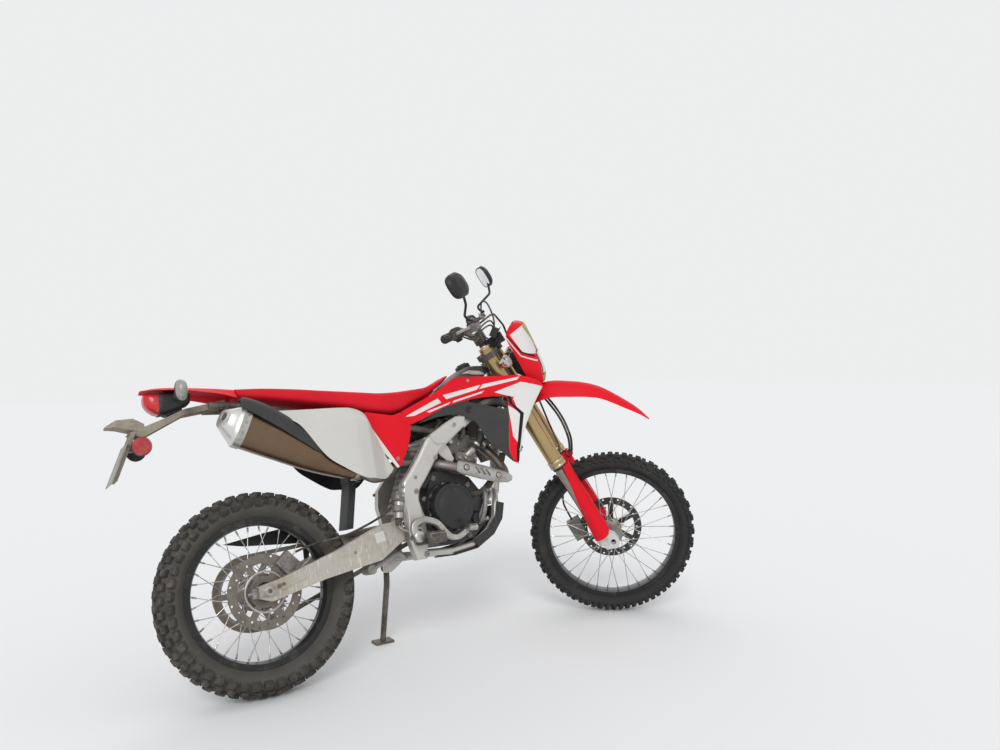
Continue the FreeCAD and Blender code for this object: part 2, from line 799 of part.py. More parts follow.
def swingarm():
    """Two tapered arms, a cross box in front of the wheel and the pivot tube."""
    inner = mm("arm_inner")
    outer = inner + mm("arm_width")
    arm = plate(ARM, -outer, -inner, 5)
    cross = box((372, -inner - 4, 398), (432, inner + 4, 462))
    pivot = Vector(mm("pivot_x"), 0, mm("pivot_z"))
    half = mm("spar_inner") - 1
    tube_ = cylinder((pivot.x, -half, pivot.z), (pivot.x, half, pivot.z), mm("pivot_radius"))
    lugs = [box((430, side * 68 - 16, 425), (pivot.x, side * 68 + 16, 470)) for side in (-1, 1)]
    whole = fused([arm, mirrored(arm), cross, tube_] + lugs)
    bolt = Part.makeCylinder(mm("pivot_bolt_radius") + mm("axle_clearance"), 2 * half + 20,
                             Vector(pivot.x, -half - 10, pivot.z), Vector(0, 1, 0))
    hole = Part.makeCylinder(mm("rear_axle_radius") + mm("axle_clearance"), 400,
                             Vector(0, -200, mm("rear_axle_height")), Vector(0, 1, 0))
    return feature("swingarm", whole.cut(bolt).cut(hole), CHASSIS)


def rear_shock():
    """The damper with its spring, and the link under it."""
    low = Vector(470, 0, 396)
    top = Vector(HIGH_CROSS[0], 0, HIGH_CROSS[1])
    along = (top - low).normalize()
    high = top - along * (mm("cross_radius") + mm("seat_gap"))
    body = [cylinder(low, high, 13), cylinder(low + along * 130, high - along * 26, 24)]
    for i in range(8):
        start = low + along * (126 + 25 * i)
        body.append(cylinder(start, start + along * 13, 37))
    link_end = LOW_CROSS[0] - mm("cross_radius") - mm("seat_gap")
    link = plate(((374, 334), (380, 356), (458, 408), (482, 408), (link_end, 376), (link_end, 356),
                  (470, 372), (396, 328)), -17, 17)
    eye = cylinder((388, -46, 342), (388, 17, 342), 17)
    rod = tube([(388, -38, 342), (500, -38, 389), (link_end - 6, -12, 369)], 9, 30)
    return feature("rear_shock", fused(body + [link, eye, rod]), CHASSIS)


def engine():
    """The crankcases, a block of the real size, with its sump and mounts."""
    half = mm("spar_inner") - mm("seat_gap")
    cases = plate(CASES, -half, half, 12)
    recess = box((560, mm("chain_line") - mm("recess_depth"), 360), (672, half + 1, 670))
    return feature("engine_cases", cases.cut(recess), CHASSIS)


def engine_covers():
    """The round clutch cover on the right and the generator cover on the left."""
    covers = []
    face = mm("spar_inner")
    for x, z, side, big, small, depth in ((686, 521, -1, 92, 80, 66), (752, 500, 1, 74, 66, 50)):
        start = Vector(x, side * face, z)
        covers.append(fused([
            Part.makeCylinder(big, depth * 0.45, start, Vector(0, side, 0)),
            Part.makeCone(big * 0.95, small, depth * 0.55, start + Vector(0, side * depth * 0.45, 0),
                          Vector(0, side, 0))]))
    shaft = fused([Part.makeCylinder(13, mm("chain_line") - 1, Vector(FRONT_SPROCKET[0], 0, FRONT_SPROCKET[1]),
                                     Vector(0, 1, 0)),
                   Part.makeCylinder(23, 5.4, Vector(FRONT_SPROCKET[0], mm("chain_line") - 2.7,
                                                     FRONT_SPROCKET[1]), Vector(0, 1, 0))])
    floor = mm("chain_line") - mm("recess_depth") + mm("seat_gap")
    shaft = shaft.cut(box((500, -200, 300), (900, floor, 700)))
    return feature("engine_covers", Part.makeCompound(covers + [shaft]), CHASSIS)


def cylinder_head():
    """The cylinder, head and cam cover, leaning a little forward."""
    parts = [box((-62, -62, 0), (62, 62, 92)), box((-72, -74, 92), (72, 74, 170)),
             box((-60, -66, 170), (60, 66, 222))]
    whole = fused(parts)
    whole.Placement = Placement(Vector(742, 0, 628), Rotation(Vector(0, 1, 0), 9))
    whole = fused([whole.copy(), cylinder(INTAKE[0], INTAKE[1], 23)])
    return feature("cylinder_head", whole.cut(plate(CASES, -100, 100)), CHASSIS)


def airbox():
    """The air box, its duct to the head, the splash panel over the wheel and the mud flap."""
    body = plate(AIRBOX, -56, 56, 10)
    mouth, port = [Vector(*p) for p in INTAKE]
    mouth = mouth + (mouth - port).normalize() * mm("seat_gap")
    duct = tube([(590, 0, 843), (640, 0, 836), mouth], 24, 40)
    splash = gutter(((-60, 926, 50, 12), (40, 884, 56, 14), (200, 800, 56, 14), (310, 730, 56, 12),
                     (350, 706, 50, 8)), 3)
    flap = plate(FLAP, -36, 36)
    link = box((340, -36, 655), (390, 36, 712))
    return feature("airbox", fused([body, duct, splash, flap, link]), CHASSIS)


def radiators():
    """Two radiators that lean with the fork, outside the down tube."""
    core = box((-17, 66, -70), (17, 140, 118))
    core.Placement = Placement(Vector(992, 0, 768), Rotation(Vector(0, 1, 0), -25))
    stay = cylinder((1005, mm("cradle_radius") + 9 + mm("seat_gap"), 768), (1005, 70, 768), 8)
    return feature("radiators", both(fused([core, stay])), CHASSIS)


def fuel_tank():
    """The tank between the spars and the head pipe, with its cover and cap."""
    # x, half width, underside, top, corner
    stations = ((650, 62, 872, 925, 20), (740, 84, 872, 962, 28), (800, 88, 874, 1012, 34),
                (858, 88, 925, 1052, 36), (902, 64, 962, 1072, 30), (960, 60, 1016, 1074, 20),
                (1004, 46, 1050, 1062, 5))
    body = loft([across_body(*row) for row in stations])
    cap = cylinder((905, 0, 1060), (893, 0, 1090), 32)
    bosses = []
    for side in (-1, 1):
        inner = -panel_y(SHROUD_PLAN, SHROUD, mm("shroud_tilt"), 810, 965) - mm("panel_wall") - 0.9
        bosses.append(cylinder((810, side * 70, 960), (810, side * inner, 960), 9))
    return feature("fuel_tank", fused([body, cap] + bosses), CHASSIS)


def seat():
    """The long flat seat that climbs onto the tank."""
    # x, half width, underside, top, corner
    stations = ((-30, 62, 975, 1006, 12), (60, 96, 950, 1000, 20), (250, 112, 918, 985, 24),
                (403, 112, 892, 974, 26), (505, 104, 876, 969, 28), (618, 88, 930, 979, 18),
                (690, 76, 966, 988, 10), (760, 66, 1003, 1015, 5), (790, 58, 1020, 1030, 4))
    return feature("seat", loft([across_body(*row) for row in stations]), CHASSIS)


def side_pair(label, outline_, plan, tilt, holes=(), stays=()):
    """A bent panel and its mirror image, with stays that reach inwards."""
    sheet_ = panel(outline_, plan, tilt, mm("panel_wall"))
    if stays:
        sheet_ = fused([sheet_] + [cylinder((x, -outer, z), (x, -inner, z), 7) for x, z, outer, inner in stays])
    for x, z, radius in holes:
        sheet_ = sheet_.cut(Part.makeCylinder(radius, 400, Vector(x, -400, z), Vector(0, 1, 0)))
    return feature(label, both(sheet_), CHASSIS)


def rear_panels():
    """The right panel stands clear of the silencer, and the left one lies close to the body."""
    rail = 69 + mm("rail_radius") + mm("seat_gap")
    right = fused([panel(REAR_PANEL, REAR_PANEL_PLAN, 0.1, mm("panel_wall"), (850, 0.9)),
                   cylinder((200, -150, 898), (200, -rail, 898), 7)])
    left = fused([panel(REAR_PANEL, LEFT_PANEL_PLAN, 0.08, mm("panel_wall")),
                  cylinder((200, 101, 901), (200, rail, 901), 7)])
    return feature("rear_panels", Part.makeCompound([right, left]), CHASSIS)


def rear_fender():
    """The tail, a shallow gutter that narrows to its tip."""
    return feature("rear_fender", gutter((
        (-31, 1010, 84, 42), (-90, 1014, 80, 30), (-190, 1020, 68, 18), (-270, 1022, 54, 15),
        (-321, 1016, 34, 5)), 3.2), CHASSIS)


def tail_light():
    """The tail lamp and its housing under the tail."""
    lamp = loft([rounded(Vector(x, 0, z), Vector(0, 1, 0), Vector(0, 0, 1), half, high, 8)
                 for x, z, half, high in ((-311, 984, 22, 18), (-283, 968, 42, 34),
                                          (-262, 968, 42, 35), (-168, 982, 36, 20))])
    boss = plate(((-255, 980), (-195, 980), (-195, 1015.9), (-255, 1017.2)), -14, 14)
    foot = plate(((-250, 940), (-195, 960), (-195, 945.6), (-250, 920.9)), -20, 20)
    return feature("tail_light", fused([lamp, boss, foot]), CHASSIS)


def rear_signals():
    """A turn signal on a stalk each side of the tail lamp."""
    # place across, half length, half height, corner
    rows = ((-168, 7, 12, 6), (-160, 15, 26, 13), (-136, 19, 33, 16), (-108, 17, 28, 14), (-98, 10, 16, 8))
    pod = loft([rounded(Vector(-221, y, 986), Vector(1, 0, 0), Vector(0, 0, 1), half, tall, corner)
                for y, half, tall, corner in rows])
    stalk = cylinder((-221, -41, 982), (-221, -105, 985), 9)
    return feature("rear_signals", both(fused([pod, stalk])), CHASSIS)


def plate_bracket():
    """The long arm under the tail with the plate lamp's hood and the round reflectors."""
    half = mm("bracket_half")
    arm = plate(BRACKET, -half, half)
    trough = plate([(x, z - 8) for x, z in BRACKET], 4 - half, half - 4)
    hood = loft([rounded(Vector(x, 0, z), Vector(0, 1, 0), Vector(0, 0, 1), half, high, 5)
                 for x, z, half, high in ((-430, 900, 20, 3), (-400, 908, 34, 12), (-350, 902, 36, 20),
                                          (-318, 884, 34, 20))])
    backing = plate(((-357, 880), (-345, 876), (-407, 728), (-419, 732)), -40, 40)
    wings = cylinder((-334, -58, 828), (-334, 58, 828), 6)
    strut = box((-372, -12, 820), (-330, 12, 836))
    discs = [cylinder((-334, side * 52, 828), (-334, side * 60, 828), 29) for side in (-1, 1)]
    whole = fused([arm.cut(trough), hood, backing, wings, strut] + discs)
    return feature("plate_bracket", whole, CHASSIS)


def number_plate():
    """A blank plate."""
    return feature("number_plate", plate(NUMBER_PLATE, -64, 64), CHASSIS)


MUFFLER_TAIL = (-58, -148, 858)
MUFFLER_NOSE = (352, -146, 670)
GUARD_RUN = ((905, -146, 606), (775, -142, 646))


def exhaust_header():
    """The pipe that loops out of the head and runs back inside the right spar."""
    nose = Vector(*MUFFLER_NOSE)
    along = (nose - Vector(*MUFFLER_TAIL)).normalize()
    end_ = nose + along * mm("seat_gap")
    pipe = tube([(852, -20, 770), (896, -32, 752), (944, -70, 690), (948, -122, 624)] + list(GUARD_RUN)
                + [(700, -110, 674), (652, -66, 692), (520, -67, 698), (470, -92, 668),
                   end_ + along * 52, end_],
                mm("header_radius"), (30, 34, 30, 26, 60, 42, 42, 40, 34, 34))
    return feature("exhaust_header", pipe, CHASSIS)


def header_guard():
    """The slotted heat guard over the pipe."""
    front = Vector(*GUARD_RUN[0])
    back = Vector(*GUARD_RUN[1])
    length = 236
    inner = mm("header_radius") + 6
    shell = Part.makeCylinder(inner + 3, length, Vector(0, 0, 0), Vector(1, 0, 0)).cut(
        Part.makeCylinder(inner, length, Vector(0, 0, 0), Vector(1, 0, 0)))
    shell = shell.common(box((0, -40, -26), (length, -4, 26)))
    for i in range(2):
        slot = box((80 + 56 * i, -40, -13), (89 + 56 * i, 0, 13))
        slot.rotate(Vector(84 + 56 * i, 0, 0), Vector(0, 1, 0), 35)
        shell = shell.cut(slot)
    tabs = [box((x, -inner - 1, -6), (x + 12, -mm("header_radius") - mm("seat_gap"), 6)) for x in (66, 140)]
    shell = fused([shell] + tabs)
    start = back - (front - back).normalize() * 62
    shell.Placement = Placement(start, Rotation(Vector(1, 0, 0), front - back))
    return feature("header_guard", shell, CHASSIS)


def along_muffler(share, half_width, half_height, corner, lift=0.0):
    """A section of the muffler at a share of its length from the tail."""
    tail = Vector(*MUFFLER_TAIL)
    nose = Vector(*MUFFLER_NOSE)
    along = (nose - tail).normalize()
    up = Vector(0, 1, 0).cross(along)
    up = up if up.z > 0 else -up
    centre = tail + (nose - tail) * share + up * lift
    return rounded(centre, Vector(0, 1, 0), up, half_width, half_height, corner)


def muffler():
    """The oval silencer with its end cap and outlet."""
    body = loft([along_muffler(0, 50, 67, 42), along_muffler(0.62, 46, 56, 38),
                 along_muffler(0.9, 32, 36, 28), along_muffler(1, 22, 22, 20)])
    cap = loft([along_muffler(-0.125, 30, 40, 28, 14), along_muffler(-0.06, 44, 60, 38, 4),
                along_muffler(0, 51, 68, 43)])
    tail = Vector(*MUFFLER_TAIL)
    along = (Vector(*MUFFLER_NOSE) - tail).normalize()
    up = Vector(0, 1, 0).cross(along)
    up = up if up.z > 0 else -up
    hole = Part.makeCylinder(14, 46, tail - along * 66 + up * 20, along)
    return feature("muffler", fused([body, cap]).cut(hole), CHASSIS)


def muffler_shield():
    """The black cover over the top and outside of the silencer."""
    outer = loft([along_muffler(-0.02, 57, 84, 46, 7), along_muffler(0.2, 57, 74, 46, 4),
                  along_muffler(0.55, 54, 66, 42, 4), along_muffler(0.75, 43, 49, 34, 6)])
    inner = loft([along_muffler(-0.03, 53.5, 80.5, 43, 7), along_muffler(0.2, 53.5, 70.5, 43, 4),
                  along_muffler(0.55, 50.5, 62.5, 39, 4), along_muffler(0.76, 39.5, 45.5, 31, 6)])
    window = plate(((-62, 908), (-62, 990), (120, 990), (170, 880), (232, 766), (212, 739), (173, 753),
                    (71, 827), (-26, 893)), -230, -120)
    return feature("muffler_shield", outer.cut(inner).common(window), CHASSIS)


def skid_plate():
    """The plastic guard that wraps the front and bottom of the engine."""
    gap = mm("cradle_radius") + mm("seat_gap")
    half = 83
    line = RAIL[1:-1] + ((928, 517),)
    inner = offset_line(line, gap)
    outer = offset_line(line, gap + 5)
    floor = plate(inner + outer[::-1], -half, half)
    edge = offset_line(line[1:], -15)
    lip = offset_line(line[1:], gap + 5)
    right = plate(edge + lip[::-1], -half, 3 - half)
    return feature("skid_plate", fused([floor, right, mirrored(right)]), CHASSIS)


def foot_controls():
    """Foot pegs, the arched brake pedal with its cylinder, and the shift lever."""
    face = mm("spar_inner") + mm("spar_width") + mm("seat_gap")
    peg = fused([box((546, face, 400), (582, 152, 426)), box((538, 146, 416), (598, 230, 432))])
    y = -172
    pedal = fused([cylinder((520, -face, 428), (520, y - 11, 428), 11),
                   tube([(520, y, 428), (503, y, 462), (548, y, 483), (594, y, 468), (640, y, 412),
                         (672, y, 409), (716, y, 430)], 8.5, (14, 24, 34, 26, 20)),
                   box((708, y - 34, 424), (740, y + 6, 441))])
    master = fused([cylinder((466, -142, 502), (480, -142, 590), 17),
                    box((456, -140, 520), (501.1 - mm("seat_gap"), -108, 548))])
    floor = mm("chain_line") - mm("recess_depth") + mm("seat_gap")
    lever = fused([cylinder((650, floor, 412), (650, 159, 412), 9),
                   tube([(650, 150, 412), (716, 156, 406), (752, 158, 424)], 6, 20),
                   cylinder((752, 150, 424), (752, 190, 424), 8)])
    return feature("foot_controls", Part.makeCompound([peg, mirrored(peg), pedal, master, lever]), CHASSIS)


def rear_caliper():
    """The caliper that grips the rear disc in front of the axle."""
    y = -mm("rear_disc_place")
    edge = mm("rear_disc_radius")
    half = mm("arm_inner") - mm("rear_disc_place") - mm("seat_gap")
    body = box((edge - 36, y - half, -36), (edge + 20, y + half, 36))
    slot = box((0, y - 4, -60), (edge + 7, y + 4, 60))
    caliper = body.cut(slot)
    caliper.Placement = Placement(Vector(0, 0, mm("rear_axle_height")), Rotation(Vector(0, 1, 0), -42))
    return feature("rear_caliper", caliper, CHASSIS)


def belt(big, small, spread, y_low, y_high):
    """A flat loop between two wheels of given radii, drawn about the big one."""
    angle = math.acos((big - small) / spread.Length)
    along = math.atan2(spread.z, spread.x)
    corners = []
    for radius, centre in ((big, Vector(0, 0, 0)), (small, spread)):
        for side in (1, -1):
            turn = along + side * angle
            corners.append(centre + Vector(math.cos(turn), 0, math.sin(turn)) * radius)
    top_big, low_big, top_small, low_small = corners
    far_big = Vector(-math.cos(along), 0, -math.sin(along)) * big
    far_small = spread + Vector(math.cos(along), 0, math.sin(along)) * small
    wire = Part.Wire([Part.LineSegment(top_big, top_small).toShape(),
                      Part.Arc(top_small, far_small, low_small).toShape(),
                      Part.LineSegment(low_small, low_big).toShape(),
                      Part.Arc(low_big, far_big, top_big).toShape()])
    face = Part.Face(wire)
    face.translate(Vector(0, y_low, 0))
    return face.extrude(Vector(0, y_high - y_low, 0))


def drive_chain():
    """The chain's two rows of plates, around both sprockets, with an outer plate on every other link."""
    rear = mm("chain_pitch") / 2 / math.sin(math.pi / mm("rear_teeth"))
    front = mm("chain_pitch") / 2 / math.sin(math.pi / mm("front_teeth"))
    half = mm("chain_height") / 2
    spread = Vector(FRONT_SPROCKET[0], 0, FRONT_SPROCKET[1]) - Vector(0, 0, mm("rear_axle_height"))
    rows = []
    for side in (-1, 1):
        near = mm("chain_line") + side * mm("chain_gap") / 2
        far = near + side * mm("chain_plate")
        low, high = min(near, far), max(near, far)
        row = belt(rear + half, front + half, spread, low, high).cut(
            belt(rear - half, front - half, spread, low, high))
        links = []
        for start, stop in link_pins(rear, front, spread):
            along = (stop - start).normalize()
            across = Vector(-along.z, 0, along.x)
            reach = along * (mm("chain_height") * 0.45)
            corners = [start - reach + across * half, stop + reach + across * half,
                       stop + reach - across * half, start - reach - across * half]
            face = Part.Face(polygon([(c.x, far - side * 1.0, c.z) for c in corners]))
            links.append(face.extrude(Vector(0, side * 2.6, 0)))
        row = fused([row] + links)
        row.translate(Vector(0, 0, mm("rear_axle_height")))
        rows.append(row)
    return feature("drive_chain", Part.makeCompound(rows), CHASSIS)


def link_pins(rear, front, spread):
    """The two pins of every other link along the chain's pitch line, drawn about the rear sprocket."""
    angle = math.acos((rear - front) / spread.Length)
    along = math.atan2(spread.z, spread.x)
    run = math.sqrt(spread.Length ** 2 - (rear - front) ** 2)
    legs = (run, front * 2 * angle, run, rear * 2 * (math.pi - angle))
    count = 2 * int(round(sum(legs) / mm("chain_pitch") / 2))
    step = sum(legs) / count

    def at(far):
        if far < legs[0]:
            turn = along + angle
            first = Vector(math.cos(turn), 0, math.sin(turn)) * rear
            last = spread + Vector(math.cos(turn), 0, math.sin(turn)) * front
            return first + (last - first) * (far / run)
        far -= legs[0]
        if far < legs[1]:
            turn = along + angle - far / front
            return spread + Vector(math.cos(turn), 0, math.sin(turn)) * front
        far -= legs[1]
        if far < legs[2]:
            turn = along - angle
            first = spread + Vector(math.cos(turn), 0, math.sin(turn)) * front
            last = Vector(math.cos(turn), 0, math.sin(turn)) * rear
            return first + (last - first) * (far / run)
        turn = along - angle - (far - legs[2]) / rear
        return Vector(math.cos(turn), 0, math.sin(turn)) * rear

    return [(at(step * 2 * i), at(step * (2 * i + 1))) for i in range(count // 2)]


def chain_guard():
    """The plate over the chain, on the left arm."""
    low = mm("arm_inner") + 2
    return feature("chain_guard", plate(CHAIN_GUARD, low, low + 4), CHASSIS)


# Fork and bars

def fork_clamps():
    """Two triple clamps joined by the stem."""
    lead = mm("leg_lead")
    spread = mm("leg_spread")
    tall = mm("clamp_height")
    outer = mm("outer_tube_radius")
    pieces = [Part.makeCylinder(mm("stem_radius"), mm("clamp_high") - mm("clamp_low") + tall,
                                Vector(0, 0, mm("clamp_low")))]
    for low in (mm("clamp_low"), mm("clamp_high")):
        pieces.append(Part.makeCylinder(28, tall, Vector(0, 0, low)))
        pieces.append(box((0, -28, low), (lead + 26, 28, low + tall)))
        for side in (-1, 1):
            pieces.append(Part.makeCylinder(outer + 9, tall, Vector(lead, side * spread, low)))
            pieces.append(box((lead - 22, min(0, side * spread), low), (lead + 22, max(0, side * spread),
                                                                       low + tall)))
    top = mm("clamp_high") + tall
    for side in (-1, 1):
        pieces.append(Part.makeCylinder(13, mm("bar_height") - top - 6, Vector(lead - 10, side * 48, top)))
        pieces.append(box((lead - 28, side * 48 - 20, mm("bar_height") - 24),
                          (lead + 8, side * 48 + 20, mm("bar_height") + 22)))
    whole = fused(pieces)
    for side in (-1, 1):
        whole = whole.cut(Part.makeCylinder(outer + mm("axle_clearance"), 400,
                                            Vector(lead, side * spread, mm("clamp_low") - 50)))
    bar = cylinder((lead - 10, -90, mm("bar_height")), (lead - 10, 90, mm("bar_height")),
                   mm("bar_radius") + mm("seat_gap"))
    return feature("fork_clamps", whole.cut(bar), FORK)


def fork_outers():
    """The two wide upper tubes with their lower rings and caps."""
    tubes = []
    for side in (-1, 1):
        foot = Vector(mm("leg_lead"), side * mm("leg_spread"), mm("outer_tube_low"))
        length = mm("outer_tube_high") - mm("outer_tube_low")
        wide = mm("outer_tube_radius")
        whole = fused([Part.makeCylinder(wide, length, foot),
                       Part.makeCylinder(wide + 3, 30, foot),
                       Part.makeCylinder(wide - 6, 10, foot + Vector(0, 0, length))])
        bore = Part.makeCylinder(mm("inner_tube_radius") + mm("axle_clearance"), length - 60, foot)
        tubes.append(whole.cut(bore))
    return feature("fork_outers", Part.makeCompound(tubes), FORK)


def fork_legs():
    """The bright inner tubes and the cast feet that hold the axle."""
    lead = mm("leg_lead")
    axle_x = mm("fork_offset")
    legs = []
    for side in (-1, 1):
        y = side * mm("leg_spread")
        inner = cylinder((lead, y, 30), (lead, y, mm("outer_tube_low") + 300), mm("inner_tube_radius"))
        foot = loft([rounded(Vector(lead, y, z), Vector(1, 0, 0), Vector(0, 1, 0), half, wide, 16)
                     for z, half, wide in ((110, 28, 28), (40, 32, 24), (10, 30, 20))])
        block = plate(((lead - 26, 40), (lead - 12, -16), (axle_x - 8, -26), (axle_x + 14, -24),
                       (axle_x + 26, -4), (axle_x + 22, 22), (lead + 26, 52)), y - 19, y + 19, 6)
        leg = fused([inner, foot, block])
        bore = Part.makeCylinder(mm("front_axle_radius") + mm("axle_clearance"), 100,
                                 Vector(axle_x, y - 50, 0), Vector(0, 1, 0))
        legs.append(leg.cut(bore))
    return feature("fork_legs", Part.makeCompound(legs), FORK)


def fork_guards():
    """Plastic shields in front of the inner tubes."""
    lead = mm("leg_lead")
    guards = []
    for side in (-1, 1):
        y = side * mm("leg_spread")
        rows = ((378, 35.5, 16), (300, 36, 14), (120, 37, 12), (70, 38, 12), (34, 40, 10))
        outer = loft([rounded(Vector(lead + shift - 8, y, z), Vector(1, 0, 0), Vector(0, 1, 0), half, half, 30)
                      for z, half, shift in rows])
        inner = loft([rounded(Vector(lead + shift - 8, y, z), Vector(1, 0, 0), Vector(0, 1, 0),
                              half - 3, half - 3, 28) for z, half, shift in rows])
        front = box((lead + 2, y - 60, 60), (lead + 90, y + 60, 380))
        guards.append(outer.cut(inner).common(front))
    return feature("fork_guards", Part.makeCompound(guards), FORK)


def handlebar():
    """The wide bar with its bends."""
    x = mm("leg_lead") - 10
    high = mm("bar_height")
    half = tube([(x, 0, high), (x, 96, high), (x - 12, 172, high + 62), (-24, 410, high + 78)],
                mm("bar_radius"), (40, 40))
    bar = fused([half, mirrored(half)])
    return feature("handlebar", bar, FORK)


def grip_line(distance):
    """A point and the direction of the bar's left end, a distance in from its tip."""
    tip = Vector(-24, 410, mm("bar_height") + 78)
    root = Vector(mm("leg_lead") - 22, 172, mm("bar_height") + 62)
    inward = (root - tip).normalize()
    return tip + inward * distance, inward


def hand_controls():
    """Grips, switch housings, levers and the front brake's cylinder."""
    tip, inward = grip_line(-2)
    bar = Part.makeCylinder(mm("bar_radius") + mm("seat_gap"), 260, tip - inward * 5, inward)
    grip = Part.makeCylinder(mm("grip_radius"), 122, tip, inward)
    flange = Part.makeCylinder(mm("grip_radius") + 8, 5, tip + inward * 122, inward)
    housing = Part.makeCylinder(21, 34, grip_line(132)[0], inward)
    perch = Part.makeCylinder(17, 26, grip_line(178)[0], inward)
    centre = grip_line(191)[0]
    arm = box((centre.x + 4, centre.y - 11, centre.z - 12), (centre.x + PERCH_REACH + 12, centre.y + 11,
                                                             centre.z + PERCH_TOP))
    root = grip_line(190)[0]
    blade = tube([root + Vector(10, -4, 0), root + Vector(46, 8, -4), root + Vector(58, 60, -6),
                  root + Vector(50, 175, -4)], 5.5, 18)
    left = fused([grip, flange, housing.cut(bar)]).cut(bar)
    lever = fused([perch, arm, blade]).cut(bar)
    reservoir = box((centre.x + 38, centre.y - 32, centre.z - 34), (centre.x + 86, centre.y + 16,
                                                                   centre.z + PERCH_TOP))
    cup = fused([mirrored(lever), mirrored(reservoir)])
    return feature("hand_controls", Part.makeCompound([left, mirrored(left), lever, cup]), FORK)


PERCH_REACH = 62
PERCH_TOP = 5
# Side, place forward, height over the bar
MIRRORS = ((-1, 110, 219), (1, 145, 204))


def mirrors():
    """A rounded mirror on a cranked stem each side, turned in towards the rider."""
    centre = grip_line(191)[0]
    heads = []
    for side, x, rise in MIRRORS:
        z = mm("bar_height") + rise
        base = Vector(centre.x + PERCH_REACH, centre.y, centre.z + PERCH_TOP + mm("seat_gap"))
        stem = tube([base + Vector(0, 0, 4), base + Vector(-14, 4, 36), Vector(x - 16, 300, z - 76), Vector(x + 4, 322, z - 20)],
                    5, (18, 22))
        foot = cylinder(base, base + Vector(0, 0, 12), 8)
        # depth, half width, half height, corner
        rows = ((-8, 53, 47, 34), (2, 55, 49, 38), (12, 46, 40, 32), (19, 24, 20, 16))
        shell = loft([rounded(Vector(depth, 0, 0), Vector(0, 1, 0), Vector(0, 0, 1), half, tall, corner)
                      for depth, half, tall, corner in rows])
        shell.Placement = Placement(Vector(x, 330, z), Rotation(Vector(0, 0, 1), 26))
        head = fused([stem, foot, shell])
        heads.append(head if side > 0 else mirrored(head))
    return feature("mirrors", Part.makeCompound(heads), FORK)


LAMP_HEIGHT = mm("clamp_high") - 125
LAMP_HALF = 51
LAMP_TALL = 46


def headlight_cowl():
    """The number-plate shaped nose around the lamp."""
    # height over the lamp, front, back edge, half width
    rows = ((-75, 168, 150, 46), (-51, 184, 126, 68), (-10, 196, 126, 88), (95, 206, 128, 104),
            (155, 206, 132, 98), (191, 184, 164, 66))
    wires = []
    wall = mm("panel_wall")
    for high, front, back, half in rows:
        step = min(26, (front - back) * 0.45)
        outer = ((back, -half), (front - step, -half * 0.92), (front, -half * 0.6), (front, half * 0.6),
                 (front - step, half * 0.92), (back, half))
        inner = ((back, half - wall), (front - step - wall * 0.5, half * 0.92 - wall),
                 (front - wall, half * 0.6 - wall * 0.6), (front - wall, -half * 0.6 + wall * 0.6),
                 (front - step - wall * 0.5, -half * 0.92 + wall), (back, -half + wall))
        wires.append(polygon([(x, y, LAMP_HEIGHT + high) for x, y in outer + inner]))
    cowl = loft(wires)
    half, tall = LAMP_HALF + mm("seat_gap"), LAMP_TALL + mm("seat_gap")
    window = box((150, -half, LAMP_HEIGHT - tall), (260, half, LAMP_HEIGHT + tall))
    return feature("headlight_cowl", cowl.cut(window), FORK)


def headlight():
    """The lamp behind the cowl's window, with its deep bucket."""
    lamp = loft([rounded(Vector(x, 0, high), Vector(0, 1, 0), Vector(0, 0, 1), half, tall, 14)
                 for x, high, half, tall in ((84, LAMP_HEIGHT + 42, 42, 38), (104, LAMP_HEIGHT + 38, 60, 60),
                                             (138, LAMP_HEIGHT + 26, 62, 70),
                                             (150, LAMP_HEIGHT, LAMP_HALF, LAMP_TALL),
                                             (186, LAMP_HEIGHT, LAMP_HALF, LAMP_TALL),
                                             (196, LAMP_HEIGHT, LAMP_HALF - 9, LAMP_TALL - 8))])
    return feature("headlight", lamp, FORK)


def instrument():
    """The display above the clamp."""
    body = box((-20, -52, -14), (20, 52, 14))
    body.Placement = Placement(Vector(96, 0, mm("bar_height") - 12), Rotation(Vector(0, 1, 0), -35))
    stay = box((34, -12, mm("bar_height") - 66), (112, 12, mm("bar_height") - 24))
    return feature("instrument", fused([body, stay]), FORK)


def front_fender():
    """The high mudguard under the lower clamp, drooping to its tip."""
    return feature("front_fender", gutter((
        (-34, 668, 50, 26), (0, 688, 58, 36), (60, 697, 64, 50), (164, 687, 68, 60), (253, 632, 67, 60),
        (312, 584, 64, 54), (355, 532, 58, 44), (408, 437, 48, 26), (431, 384, 38, 15),
        (446, 334, 20, 4)), 3), FORK)


def front_signals():
    """Round turn signals beside the fork."""
    high = 860
    head = Part.makeCone(16, 26, 24, Vector(66, 162, high), Vector(1, 0, 0))
    back = Part.makeCylinder(26, 14, Vector(90, 162, high), Vector(1, 0, 0))
    reach = (mm("outer_tube_radius") + mm("seat_gap")) * math.sqrt(0.5)
    root = Vector(mm("leg_lead") + reach, mm("leg_spread") + reach, high)
    stalk = cylinder(root, (88, 160, high), 8)
    return feature("front_signals", both(fused([head, back, stalk])), FORK)


def front_caliper():
    """The caliper behind the left fork foot."""
    y = mm("front_disc_place")
    edge = mm("fork_offset") - mm("front_disc_radius")
    body = box((edge - 24, y - 20, 22), (edge + 32, y + 22, 112))
    slot = box((edge - 7, y - 4, 0), (edge + 60, y + 4, 130))
    lug = box((edge + 20, y + 16, 52), (mm("leg_lead") - 31.6, y + 46, 84))
    return feature("front_caliper", fused([body.cut(slot), lug]), FORK)


